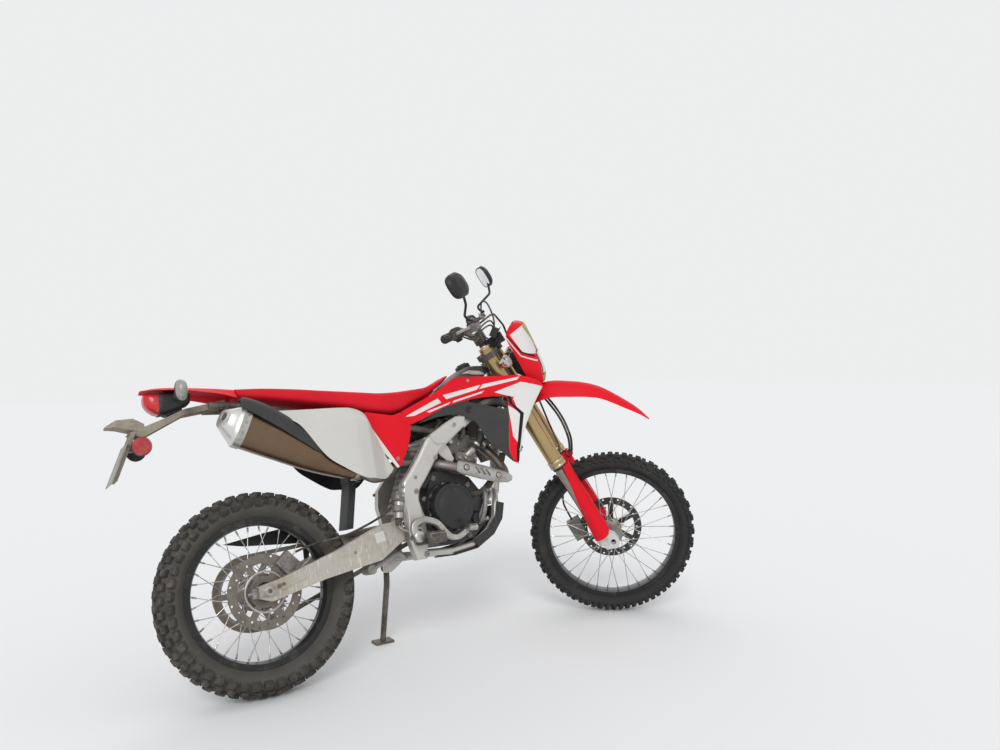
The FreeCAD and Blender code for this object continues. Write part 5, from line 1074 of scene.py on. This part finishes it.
def tail():
    """The dark lamp housing under the tail, its red lens, the oval signals and the round reflectors."""
    piece = Piece("tail_lamp", CHASSIS)
    housing = ((-172, 0, 984, 30, 16), (-178, 0, 983, 36, 21), (-215, 0, 976, 39, 29), (-256, 0, 969, 42, 35),
               (-268, 0, 968, 43, 36), (-271, 0, 968, 41, 34))
    lens = ((-266, 0, 968, 40.5, 33.5), (-272, 0, 968, 41, 34), (-284, 0, 970, 40, 33),
            (-300, 0, 976, 34, 27), (-311, 0, 982, 25, 19), (-314, 0, 984, 18, 13))
    piece.add(skin(squircles(housing, 4.5)), PLASTIC)
    piece.add(skin(squircles(lens, 3.4)), RED_LENS)
    piece.add(bar((-250, 0, 1001), (-200, 0, 1004), 13.5, 12, 6, 2), PLASTIC)
    piece.add(bar((-248, 0, 934), (-198, 0, 953), 19, 12, 5, 2), PLASTIC)
    piece.done("tail_light", slot="tail_lens", sharp=40)

    piece = Piece("rear_signal_pair", CHASSIS)
    lens = ((-168, 6, 11), (-165, 11, 19), (-158, 15.5, 27), (-146, 18, 32), (-138, 19, 33.5),
            (-136, 18.5, 33))
    cup = ((-139, 19.5, 34), (-133, 20, 34.5), (-118, 18, 30), (-106, 14, 22), (-99, 10.5, 14))
    for rows, look in ((lens, SILVER_LENS), (cup, PLASTIC)):
        rings = [(y, -221, 986, wide, tall) for y, wide, tall in rows]
        piece.both(skin(squircles(rings, 2.4, 44, 1)), look)
    piece.both(hose([(-221, -41.5, 982), (-221, -70, 981), (-221, -104, 985)], 9, 20, 16), RUBBER)
    piece.both(spun([(12, 0), (13, 1), (13, 5), (10, 7)], (-221, -86, 983), OUT, 20), RUBBER)
    piece.done("rear_signals", slot="signal_lens", sharp=40)

    piece = Piece("round_reflector_pair", CHASSIS)
    dome = [(28, -1), (28.6, 1), (27, 3.4), (25, 3.8), (12, 5.2), (1, 5.6)]
    for profile, look in ((dome, RED_ROUND), ([(30.4, -9), (30.4, -0.5), (28.4, 0.6)], PLASTIC)):
        piece.both(spun(profile, (-334, -59, 828), OUT, 40), look)
    piece.done()


# Bars

TIP = np.array((-24.0, 409, 1067.7))
INWARD = unit(np.array((14.0, 172, 1052)) - TIP)
AHEAD = unit(np.cross(UP, INWARD))
LIFT = np.cross(INWARD, AHEAD)


def from_tip(place, out=0.0, high=0.0):
    """A point at a distance in from the bar's left tip, ahead of the grip and above it."""
    return TIP + INWARD * place + AHEAD * out + LIFT * high


def ribbed_grip():
    """The grip: a spun profile whose ribs repeat, with a flange at its inner end."""
    ribs = [(10.5, -3), (16.5, -2.5), (17.4, 0), (17.4, 4)]
    for k in range(26):
        ribs += [(15.6, 5.6 + k * 4.4), (16.9, 6.8 + k * 4.4), (16.9, 8.6 + k * 4.4)]
    ribs += [(16, 121), (24, 122), (25, 124), (24, 127), (12, 128)]
    return spun(ribs, TIP, INWARD, 28)


def lever():
    """The lever: a squarish profile swept on a smooth line, whose height and thickness change along it."""
    blade = curve([from_tip(194, 40, -2), from_tip(182, 52, -4), from_tip(150, 59, -6), from_tip(80, 54, -5),
                   from_tip(22, 50, -5), from_tip(10, 49, -5)], 60)
    share = np.linspace(0, 1, 60)
    height = np.interp(share, (0, 0.1, 0.8, 0.93, 1), (7.5, 6, 5.5, 6.5, 5.5))
    thick = np.interp(share, (0, 0.2, 0.85, 0.95, 1), (5, 3.6, 3.2, 5.5, 4.5))
    return skin(sweep(blade, oval(1, 1, 18, 3), LIFT, np.stack([thick, height], -1)))


def bar_end(piece, mirror):
    """One end of the bar: grip, switch housing, lever and clamp, and the adjuster or the cylinder."""
    def put(shape, look):
        piece.add(other_side(shape) if mirror else shape, look)

    def stub(profile, place, way, sides, look):
        put(spun(profile, from_tip(*place), way, sides), look)

    def beam(start, end, half, high, power, edge, look):
        put(bar(from_tip(*start), from_tip(*end), half, high, power, edge, up=LIFT), look)

    put(ribbed_grip(), RUBBER)
    stub([(8, -4.5), (13.5, -4.5), (14.5, -2.5), (14.5, 2)], (0,), INWARD, 24, RUBBER)
    wide = 24 if mirror else 20
    housing = [from_tip(place) for place in (130, 133, 131 + wide * 0.5, 128 + wide * 1.4, 132 + wide * 1.4)]
    sizes = [(19, 19), (22, 23), (23, 25), (22, 23), (18, 18)]
    put(skin(sweep(housing, oval(1, 1, 32, 3.2), LIFT, sizes)), PLASTIC)
    beam((136, -2, -20), (152, -2, -20), 13, 12, 4, 3, PLASTIC)
    stub([(5, 0), (5.4, 4), (4, 6)], (144, -19, 6), -AHEAD + 0.3 * LIFT, 16, RED_METAL if mirror else BOLT)
    stub([(15.5, 0), (17, 1.5), (17, 24.5), (15.5, 26)], (178,), INWARD, 32, CAST)
    beam((191, 8, -5), (191, 64, -4), 10.5, 8, 5, 2, CAST)
    put(lever(), BRIGHT)
    stub([(6.5, -12), (7.5, -10), (7.5, 9), (6, 11)], (192, 46, -4), LIFT, 20, BOLT)
    if mirror:
        beam((158, 60, -12), (226, 60, -12), 17, 16, 5, 3, CAST)
        beam((166, 62, 6), (218, 62, 6), 19, 5, 5, 2, PLASTIC)
        for place in (174, 210):
            stub([(3.2, -1), (3.2, 1.4), (2.4, 2)], (place, 62, 11), LIFT, 12, BOLT)
        stub([(9, 0), (9, 14), (7, 18)], (226, 60, -14), INWARD, 18, CAST)
    else:
        beam((186, 20, -6), (208, 20, -6), 9, 11, 3, 2, RUBBER)
        stub([(5, 0), (7, 3), (7, 20), (5, 24), (3.5, 38)], (200, 40, -4), INWARD + 0.25 * AHEAD, 16, BOLT)


def controls():
    """The controls on both ends of the bar: the right end is drawn on the left and mirrored."""
    piece = Piece("bar_controls", FORK)
    for mirror in (False, True):
        bar_end(piece, mirror)
    piece.done("hand_controls", slot="control_black", sharp=42)


def mirror_faces():
    """Mirror glasses: flat squarish plates on the rider's side of the shells, and the shells' rims."""
    piece = Piece("mirror_glasses", FORK)
    c, s = math.cos(math.radians(26)), math.sin(math.radians(26))
    turn = np.array([[c, -s, 0], [s, c, 0], [0, 0, 1.0]])
    glass = ((-8.3, 49.5, 43.5), (-9.2, 49, 43), (-9.4, 47, 41))
    rim = ((-2, 54, 48), (-7, 54.6, 48.6), (-10, 53, 47), (-10, 50, 44), (-8.4, 49, 43))
    for side, x, z in ((-1, 110, 1209), (1, 145, 1194)):
        for rows, look in ((glass, MIRROR), (rim, CLEAN_BLACK)):
            rings = [(place, 0, 0, wide, tall) for place, wide, tall in rows]
            shape = moved(skin(squircles(rings, 3.0, 56)), (x, 330, z), turn)
            piece.add(shape if side > 0 else other_side(shape), look)
    piece.done()


def cables():
    """Clutch and throttle cables, the brake's hoses and the lamp's wire: tubes on smooth lines."""
    piece = Piece("control_cables", FORK)
    for radius, path in (
            (3.6, ((58, 213, 1063), (88, 198, 1104), (114, 130, 1090), (112, 60, 1024), (84, 30, 965),
                   (60, 20, 928))),
            (3.4, ((20, -262, 1040), (46, -226, 1012), (86, -150, 1030), (112, -60, 1022), (96, -18, 960),
                   (62, -8, 926))),
            (3.4, ((14, -262, 1034), (40, -222, 1002), (78, -146, 1016), (104, -60, 1006), (88, -24, 950),
                   (58, -16, 926)))):
        piece.add(hose(path, radius, 70, 10), RUBBER)
    for shift in (0, 11):
        path = [(96, 40 + shift, 700), (118 + shift, 44, 620), (126 + shift, 48, 520), (112 + shift, 52, 430),
                (84 + shift, 62, 372)]
        piece.add(hose(path, 4.6, 60, 12), RUBBER)
    piece.add(spun([(15, 0), (16, 2), (16, 14), (14, 16)], (76, 88, 366), (0.2, -1, 0), 24), RED_METAL)
    wire = [(4, 258, 1040), (10, 200, 1030), (20, 150, 1010), (30, 90, 985), (60, 40, 950)]
    piece.add(hose(wire, 3.0, 50, 10), RUBBER)
    piece.done()


TUBE_AHEAD, TUBE_SIDE = 36, -107


def on_tube(high):
    """A point on the right fork tube's axis."""
    return TUBE_AHEAD, TUBE_SIDE, high


def bar_centre():
    """The screws of the bar's caps and the clamps, the fork caps, and the rings on the fork tubes."""
    piece = Piece("bar_and_fork_caps", FORK)
    piece.screws([(x, 48, 1012) for x in (2, 22)], UP, 4.6, 4.5, BOLT, True)
    cap = [(25, 0), (25, 6), (23, 8), (14, 8.5), (13, 12), (6, 12.6), (5, 9)]
    piece.both(spun(cap, on_tube(943.6), UP, 36), GOLD_BRIGHT)
    piece.both(spun([(2.6, 0), (2.6, 3), (2, 4)], (36, -92, 952), UP, 10), BOLT)
    for profile, high in (([(34.4, -0.4), (34.8, 1), (34.8, 7), (33.4, 9)], 384),
                          ([(34.4, 0), (34.8, 1), (34.8, 6), (33.4, 8)], 404)):
        piece.both(spun(profile, on_tube(high), UP, 48), GOLD_BRIGHT)
    piece.both(spun([(25.2, 0), (29, 1.5), (29, 9), (27, 12)], on_tube(370), UP, 40), RUBBER)
    piece.screws([(58, -136, high) for high in (708, 718, 906, 918)], (0.5, -0.86, 0), 4.4, 5, BOLT, True)
    for low in (694, 727):
        piece.both(spun([(32, 0), (33.5, 0.6), (33.5, 4.4), (32, 5)], on_tube(low), UP, 44), RED_METAL)
    piece.done()


# Engine and chassis fittings

def round_cover(piece, x, z, side, big, small, depth):
    """A cover's rim and its inner step, with screws round the rim and ribs between the two."""
    face, low = 92.0, depth * 0.45
    at, way = (x, side * face, z), (0, side, 0)
    piece.add(spun([(big + 0.3, low - 9), (big + 1.2, low - 8), (big + 1.2, low - 1), (big - 1, low + 2.5),
                    (big - 6, low + 3), (big - 7, low - 1)], at, way, 72), CASE_BLACK)
    piece.add(spun([(small + 0.2, depth - 3), (small + 0.6, depth - 1), (small - 2, depth + 1.6),
                    (small - 9, depth + 2.4), (small - 11, depth + 0.4), (small - 20, depth + 0.2),
                    (small - 22, depth + 1.6), (1, depth + 2.2)], at, way, 72), COVER)

    def spot(radius, angle, out):
        return x + radius * math.cos(angle), side * (face + out), z + radius * math.sin(angle)

    eighth, rib = 2 * math.pi / 8, 2 * math.pi / 16
    piece.screws([spot(big - 5, eighth * (k + 0.3), low + 2.2) for k in range(8)], way, 5.2, 5, BOLT)
    for k in range(16):
        start, end = spot(small + 9, rib * k, low + 2), spot(small + 2, rib * k, depth - 6)
        piece.add(bar(start, end, 1.8, 3.2, 3, 0.6, up=(math.cos(rib * k), 0, math.sin(rib * k))), COVER)


def engine_fittings():
    """Both round covers, the bosses on the cases, and the oil filter's and pump's round lids."""
    piece = Piece("engine_trim", CHASSIS)
    round_cover(piece, 686, 521, -1, 92, 80, 66)
    round_cover(piece, 752, 500, 1, 74, 66, 50)
    boss = [(10, -2), (10, 3), (8, 5), (5.4, 5), (5, 8.5), (4, 9), (3.2, 7)]
    for x, z in ((596, 440), (628, 404), (770, 412), (820, 454), (824, 540), (790, 596), (648, 632),
                 (602, 560)):
        piece.both(spun(boss, (x, -91.4, z), OUT, 18), CAST)
    piece.both(bar((600, -94, 600), (640, -94, 646), 5, 9, 3, 2), CASE_BLACK)
    piece.add(spun([(20, 0), (21, 2), (21, 12), (18, 15), (8, 16)], (806, -91, 470), OUT, 30), CASE_BLACK)
    piece.add(spun([(30, 0), (31, 2), (31, 16), (27, 20), (10, 21)], (812, -91, 520), OUT, 36), CASE_BLACK)
    piece.done()


def head_fittings():
    """The cylinder's fins and gaskets with their screws, leaned with the cylinder, and the hoses beside it.

    Each fin is a squarish ring that is smaller at its two edges.
    """
    piece = Piece("head_and_cylinder_fins", CHASSIS)

    def put(shape, look):
        piece.add(moved(shape, (742, 0, 628), about_y(9)), look)

    def collar(low, high, half, deep, chamfer, sides, look):
        rows = ((low, 0, 0, half - chamfer, deep - chamfer), (low + 1, 0, 0, half, deep),
                (high - 1, 0, 0, half, deep), (high, 0, 0, half - chamfer, deep - chamfer))
        put(skin(squircles(rows, 7, sides)[..., [1, 2, 0]]), look)

    for high in (18, 34, 50, 66, 82):
        collar(high, high + 5, 66, 66, 1.5, 40, CAST)
    for low, high, half, deep, look in ((92, 97, 75, 77, CAST), (164, 170, 75, 77, CAST),
                                        (216, 223, 62, 68, CASE_BLACK), (170, 176, 64, 70, CASE_BLACK)):
        collar(low, high, half, deep, 1, 44, look)
    for x in (-58, 58):
        for y in (-60, 60):
            put(cap_screw((x, y, 170), UP, 6, 6), BOLT)
    for x, z in ((-40, 120), (20, 132), (48, 110)):
        put(cap_screw((x, -74, z), OUT, 7, 6), BOLT)
    for x in (-30, 30):
        put(spun([(19, -1), (20, 1), (20, 4), (17, 6), (6, 6.6)], (x, -66, 196), OUT, 28), CASE_BLACK)
    put(hose([(30, -72, 150), (34, -92, 176), (10, -98, 214), (-30, -86, 232)], 8, 40, 16), RUBBER)
    put(spun([(9, 0), (11, 2), (11, 20), (8, 24)], (-20, -72, 134), OUT, 20), BRIGHT)
    for path, radius, count, sides in (
            (((700, -84, 700), (672, -96, 742), (676, -92, 800), (720, -84, 846)), 5, 50, 12),
            (((830, -80, 740), (872, -92, 744), (916, -110, 760), (948, -118, 778)), 13, 50, 18),
            (((790, -84, 560), (850, -98, 566), (930, -100, 640), (962, -102, 700)), 13, 60, 18)):
        piece.add(hose(path, radius, count, sides), RUBBER)
    clip = [(14.6, 0), (15.2, 1), (15.2, 9), (14.6, 10)]
    piece.add(spun(clip, (880, -93, 746), (1, -0.3, 0.1), 20), BRIGHT)
    piece.done()


SPAR_FACE = -126.2


def frame_bolts():
    """The frame's bolts: hexagons and the swingarm's round end, the large ones with a blind socket."""
    piece = Piece("frame_bolts", CHASSIS)
    for x, z, r in ((540, 448, 17), (566, 366, 9), (556, 590, 8), (650, 706, 7), (748, 822, 7)):
        out, sides = (-130.0, 28) if r == 17 else (SPAR_FACE, 6)
        piece.both(spun([(r + 3, -0.6), (r + 3, 2), (r, 2.4), (r, r * 0.7), (r * 0.86, r * 0.85),
                         (r * 0.5, r * 0.85), (r * 0.45, r * 0.3)], (x, out, z), OUT, sides), BRIGHT)
    for x, z in ((506, 612), (560, 640)):
        piece.both(spun([(7, -0.5), (7, 2), (5, 4)], (x, SPAR_FACE, z), OUT, 6), BOLT)
    piece.done()


def pedal_and_pegs():
    """The cast brake pedal arm, the pegs with their cleats, and the brake's cylinder with its rubber boot.

    The arm is a squarish profile swept on a smooth line, higher at its pivot than at its tip.
    """
    piece = Piece("pedal_and_pegs", CHASSIS)
    path = ((520, 428), (505, 450), (512, 474), (548, 484), (594, 468), (622, 436), (645, 414), (678, 410),
            (714, 428))
    arm = curve([(x, -172, z) for x, z in path], 90)
    high = np.interp(np.linspace(0, 1, 90), (0, 0.12, 0.5, 0.85, 1), (15, 13, 12, 9.6, 9.6))
    piece.add(skin(sweep(arm, oval(1, 1, 24, 4), (0, 1, 0), np.stack([high, np.full(90, 9.4)], -1))), GUARD)
    piece.add(spun([(17, -12), (19, -10), (19, 10), (16, 12), (7, 12.6)], (520, -172, 428), OUT, 36), GUARD)
    piece.add(bar((706, -190, 431), (742, -190, 436), 20, 7, 5, 2), GUARD)
    for place in range(5):
        x = 711 + 6.5 * place
        piece.add(bar((x, -208, 444), (x, -172, 444), 1.6, 2.6, 3, 0.6), BOLT)
    piece.both(bar((537, -189, 416), (599, -189, 416), 43.4, 17.4, 7, 2.5), STEEL_DARK)
    for place in range(6):
        y = -152 - 15.0 * place
        piece.both(bar((541, y, 435), (595, y, 435), 2.0, 4.6, 3, 1), STEEL_DARK)
    piece.both(spun([(12, -16), (13, -14), (13, 14), (12, 16)], (544, -138, 412), (1, 0, 0), 24), STEEL_DARK)
    piece.add(bar((468, -142, 560), (478, -142, 592), 19, 20, 6, 2, up=(0, 1, 0)), CAST)
    piece.add(bar((462, -150, 524), (466, -150, 546), 19, 15, 5, 2, up=(0, 1, 0)), CAST)
    boot = [(11, 0), (12, 4), (10.6, 8), (12, 12), (10.6, 16), (12, 20), (8, 26)]
    piece.add(spun(boot, (465, -142, 503), (-0.12, 0, -1), 24), RUBBER)
    piece.add(hose([(462, -142, 480), (470, -150, 462), (492, -160, 452)], 5, 24, 12), BOLT)
    piece.screws([(x, -161, z) for x, z in ((462, 575), (484, 578), (458, 535))], OUT, 6, 5, BRIGHT)
    piece.done(sharp=50)


def water_pipes():
    """The cast water pipes before the cases with their brackets, the head's outlet, its hose and clamps."""
    piece = Piece("water_pipes_and_head_fittings", CHASSIS)
    for shift in (0, 22):
        path = [(852 + shift * 0.4, -104 + shift, 578), (842 + shift * 0.3, -122 + shift, 540),
                (826, -128 + shift, 490), (812, -118 + shift, 452)]
        piece.add(hose(path, 9, 40, 18), CAST)
    for x, z in ((858, 566), (846, 520), (826, 462)):
        piece.add(bar((x - 14, -118, z), (x + 14, -118, z - 3), 14, 6, 5, 1.5), CAST)
        piece.screws([(x + 4, -132, z)], OUT, 6, 5, BRIGHT)
    piece.add(bar((756, -88, 706), (842, -92, 694), 12, 17, 6, 3), CAST)
    piece.add(spun([(14, 0), (15, 2), (15, 34), (12, 40)], (802, -92, 704), (0.75, -0.25, 0.6), 28), BRIGHT)
    path = [(832, -102, 728), (856, -112, 758), (880, -114, 802), (902, -104, 850)]
    piece.add(hose(path, 13, 50, 18), RUBBER)
    for place, way in (((842, -106, 741), (0.6, -0.25, 0.75)), ((874, -114, 789), (0.4, 0, 0.9))):
        piece.add(spun([(14.4, 0), (15.4, 1.5), (15.4, 9), (14.4, 10.5)], place, way, 28), BRIGHT)
    piece.screws([(x, -103, z) for x, z in ((764, 700), (790, 698), (834, 690))], OUT, 6.5, 6, BRIGHT)
    piece.done(sharp=50)


def fork_guard_shells():
    """The guards: an arc round the leg that reaches further round towards the foot, cut on the slant below.

    The arc's radius and its middle's place ahead follow straight-line tables of height.
    """
    v, u = np.linspace(0, 1, 44)[:, None], np.linspace(0, 1, 40)[None]
    reach = np.interp(378 - 330 * v, (48, 120, 200, 300, 378), (158, 146, 120, 92, 76))
    angle = np.radians(-84 + (84 + reach) * u)
    z = 378 - v * (340 - 24 * np.exp(-(np.degrees(angle) / 38) ** 2))
    heights = (34, 70, 120, 300, 378)

    def shell(inset):
        half = np.interp(z, heights, (39.4, 38.4, 37.4, 36.4, 35.9)) - inset
        x = np.interp(z, heights, (38, 40, 40, 42, 44)) + half * np.cos(angle)
        return np.stack([x, TUBE_SIDE - half * np.sin(angle), z], -1)

    face = shell(-0.4)
    piece = Piece("fork_guard_shells", FORK)
    piece.both(skin(np.concatenate([shell(0.0), shell(2.8)[:, ::-1]], 1)), RED_PLAIN)
    piece.both(hose(face[24:34:3, 35], 1.5, 24, 8), STEEL_DARK)
    piece.screws([face[42, 14]], (0.75, -0.66, 0), 5, 3, BOLT, True)
    piece.done("fork_guards", slot="red_plastic", sharp=50)


def fork_tubes_and_disc_ring():
    """The inner tubes' polished sleeves, and the rear disc's carrier ring turned about the axle."""
    piece = Piece("fork_tube_sleeves", FORK)
    piece.both(spun([(24.85, 0), (24.85, 268)], on_tube(112), UP, 48), TUBE)
    piece.done(sharp=40)
    piece = Piece("rear_disc_ring", REAR)
    section = ((60, -75.6), (60, -78.0), (61.5, -79), (65.5, -79), (67, -78.0), (67, -75.6))
    piece.add(wheel(section, 90), BRIGHT)
    piece.done(sharp=40)


def spar_faces():
    """The spars' outer faces: a plate with rolled edges, a little proud, that follows the spar.

    Each of the spar's stations is widened by the same small distance at both edges.
    """
    line = np.array(((800, 852, 788, 810), (764, 851, 776, 805), (722, 831, 744, 780), (653, 791, 675, 731),
                     (627, 772, 637, 677), (579, 703, 603, 632), (535, 649, 573, 594), (512, 621, 564, 560),
                     (504, 563, 566, 548), (512, 500, 574, 500), (512, 420, 574, 420),
                     (531, 354, 565, 354)), float)
    grow = line[:, :2] - line[:, 2:]
    grow *= 1.5 / np.linalg.norm(grow, axis=1)[:, None]
    line += np.hstack([grow, -grow])
    piece = Piece("spar_faces", CHASSIS)
    piece.both(leaf(line, flat_at(126.4), 4.5, rows=24, count=110, roll=5.5), SPAR)
    weld = [(642, -126.2, 788), (652, -127, 769), (669, -127, 754), (694, -126.2, 757)]
    piece.both(hose(weld, 3.0, 30, 8), SPAR)
    bracket = ((676, 752, 684, 720), (705, 753, 704, 702), (726, 746, 718, 690), (746, 700, 734, 684))
    piece.both(leaf(bracket, flat_at(98), 6.0, rows=8, count=24, roll=2.0), SPAR)
    piece.done(sharp=60)


def rear_fittings():
    """Axle plates with nuts and adjusters, the arm's seam and label, the brake's line and piston cap."""
    piece = Piece("rear_axle_plates", CHASSIS)
    piece.both(bar((-34, -124.6, 329), (26, -124.6, 331), 2.0, 17, 6, 1.2), BRIGHT)
    nut = [(17, 0), (17, 2.6), (15.4, 3.2), (9.6, 3.4), (8.4, 1.2)]
    piece.both(spun(nut, (0, -126, AXLE_HIGH), OUT, 36), BRIGHT)
    piece.both(spun([(8.6, 0), (8.4, 1.5), (1, 1.6)], (0, -126, AXLE_HIGH), OUT, 24), STEEL_DARK)
    piece.both(bar((26, -124.8, 338), (52, -124.8, 346), 2.6, 5.5, 3, 1), STEEL_DARK)
    piece.both(bar((-52, -106, 327), (-34, -106, 328), 9, 17, 6, 2), CAST)
    piece.both(spun([(4, 0), (4, 22), (3.4, 23)], (-42, -106, 328), (-1, 0, -0.03), 12), BOLT)
    piece.both(spun([(7, 0), (7, 6), (6, 7)], (-52, -106, 328), (-1, 0, -0.03), 6), BOLT)
    piece.both(bar((36, -124.2, 338), (128, -124.2, 366), 1.6, 13, 6, 1), ARM)
    piece.screws([(300, -123.2, 408)], OUT, 5, 3, BOLT, True)
    seam = [(408, -122.6, 486), (412, -124.2, 474), (426, -124.2, 416), (430, -122.6, 404)]
    piece.both(hose(seam, 2.6, 30, 8), BRIGHT)
    label = ((376, 461, 382, 427), (411, 468, 417, 434))
    piece.both(leaf(label, flat_at(124.0), 1.6, rows=6, count=8, roll=0.6), WHITE_PANEL)
    line = [(108, -84, 440), (180, -86, 458), (300, -86, 474), (420, -112, 520), (468, -128, 560),
            (474, -140, 588)]
    piece.add(hose(line, 4, 70, 10), RUBBER)
    piece.done()

    piece = Piece("rear_brake_parts", CHASSIS)
    angle = math.radians(42)
    middle = np.array((0.0, -74, AXLE_HIGH)) + np.array((math.cos(angle), 0, math.sin(angle))) * 112
    piston = [(21, -2), (22, 0), (22, 3), (19, 5), (8, 5.6)]
    piece.add(spun(piston, middle + np.array((0, -14.6, 0)), OUT, 32), CAST)
    piece.done()


nose()
headlight()
front_indicators()
tail()
controls()
mirror_faces()
cables()
bar_centre()
engine_fittings()
head_fittings()
frame_bolts()
pedal_and_pegs()
water_pipes()
fork_guard_shells()
fork_tubes_and_disc_ring()
spar_faces()
rear_fittings()


# Carried-over pieces

SHOWN = {
    BOLT: ("rear_sprocket", "handlebar"), BRIGHT: ("front_axle", "rear_axle", "foot_controls"),
    CASE_BLACK: ("engine_cases", "skid_plate"), CAST: ("rear_caliper", "front_caliper"),
    RIM_BLACK: ("front_rim", "rear_rim"), HUB: ("front_hub", "rear_hub"), DISC: ("rear_disc",),
    DISC_BLACK: ("front_disc",), SPAR: ("main_frame",), STEEL_DARK: ("subframe", "side_stand"),
    ARM: ("swingarm",), SPRING: ("rear_shock",), COVER: ("engine_covers",), HEAD: ("cylinder_head",),
    PLASTIC: ("airbox", "chain_guard", "instrument"), FINS: ("radiators",), TAN: ("plate_bracket",),
    PLATE: ("number_plate",), CHAIN: ("drive_chain",), CAST_DARK: ("fork_clamps",), GOLD: ("fork_outers",),
    FOOT: ("fork_legs",), CLEAN_BLACK: ("mirrors",), RUBBER: ("brake_hose",),
}
for look, names in SHOWN.items():
    for name in names:
        slots = frame["nodes"][name].data.materials
        slots.clear()
        slots.append(look)


# Floor, light and camera

def placed_at(thing, right, up, back, place):
    """Sets a thing's matrix from its three axes and its place."""
    rows = [[right[k], up[k], back[k], place[k]] for k in range(3)]
    thing.matrix_world = Matrix(rows + [[0, 0, 0, 1]])


def backdrop():
    """The world: soft light for the object, and a pale tone where the camera or a reflection sees it."""
    world = bpy.data.worlds.new("studio")
    bpy.context.scene.world = world
    world.use_nodes = True
    tree = world.node_tree
    tree.nodes.clear()
    path = node(tree, "LightPath")
    seen = node(tree, "Math", {0: path.outputs["Is Camera Ray"], 1: path.outputs["Is Glossy Ray"]},
                operation="MAXIMUM")
    soft = node(tree, "Background", {"Color": (0.93, 0.96, 1.0, 1.0), "Strength": 0.72})
    pale = node(tree, "Background", {"Color": (0.845, 0.85, 0.855, 1.0), "Strength": 1.0})
    both = node(tree, "MixShader", {0: seen.outputs[0], 1: soft.outputs[0], 2: pale.outputs[0]})
    node(tree, "OutputWorld", {"Surface": both.outputs[0]})


def ground():
    """A plain pale floor."""
    size = 30.0
    mesh = bpy.data.meshes.new("floor")
    corners = [(-size, -size, 0), (size, -size, 0), (size, size, 0), (-size, size, 0)]
    mesh.from_pydata(corners, [], [(0, 1, 2, 3)])
    floor = bpy.data.objects.new("floor", mesh)
    bpy.context.collection.objects.link(floor)
    pale = bpy.data.materials.new("floor_pale")
    pale.use_nodes = True
    inputs = pale.node_tree.nodes["Principled BSDF"].inputs
    inputs["Base Color"].default_value = (0.875, 0.87, 0.86, 1)
    inputs["Roughness"].default_value = 1.0
    inputs["Specular IOR Level"].default_value = 0.0
    mesh.materials.append(pale)


def suns():
    """Two soft suns: a key from the camera's side and a weak one from behind."""
    for name, place, aim, spread, power in (("key", (-2.2, -3.2, 3.4), (0, 0, 0.6), 24, 1.25),
                                            ("back", (1.8, 3.2, 2.6), (0, 0, 0.7), 50, 0.45)):
        lamp = bpy.data.lights.new(name, "SUN")
        lamp.energy = power
        lamp.angle = math.radians(spread)
        holder = bpy.data.objects.new(name, lamp)
        bpy.context.collection.objects.link(holder)
        back = unit(np.array(place) - np.array(aim))
        side = unit(np.cross(UP, back))
        placed_at(holder, side, np.cross(back, side), back, place)


def camera():
    """The camera where the photographer stood: its axes and place on the chassis's bench."""
    eye = bpy.data.objects.new("camera", bpy.data.cameras.new("camera"))
    bpy.context.collection.objects.link(eye)
    eye.data.lens = 29.8
    eye.data.sensor_width = 36.0
    right, up, back = (np.array(axis) @ CHASSIS.axes for axis in (
        (0.8363, -0.5270, -0.1512), (0.0229, -0.2420, 0.9700), (-0.5478, -0.8147, -0.1903)))
    placed_at(eye, right, up, back, CHASSIS.world((-808.5, -2801.0, 384.0)))
    bpy.context.scene.camera = eye


backdrop()
ground()
suns()
camera()
bpy.context.scene.view_settings.view_transform = "Standard"
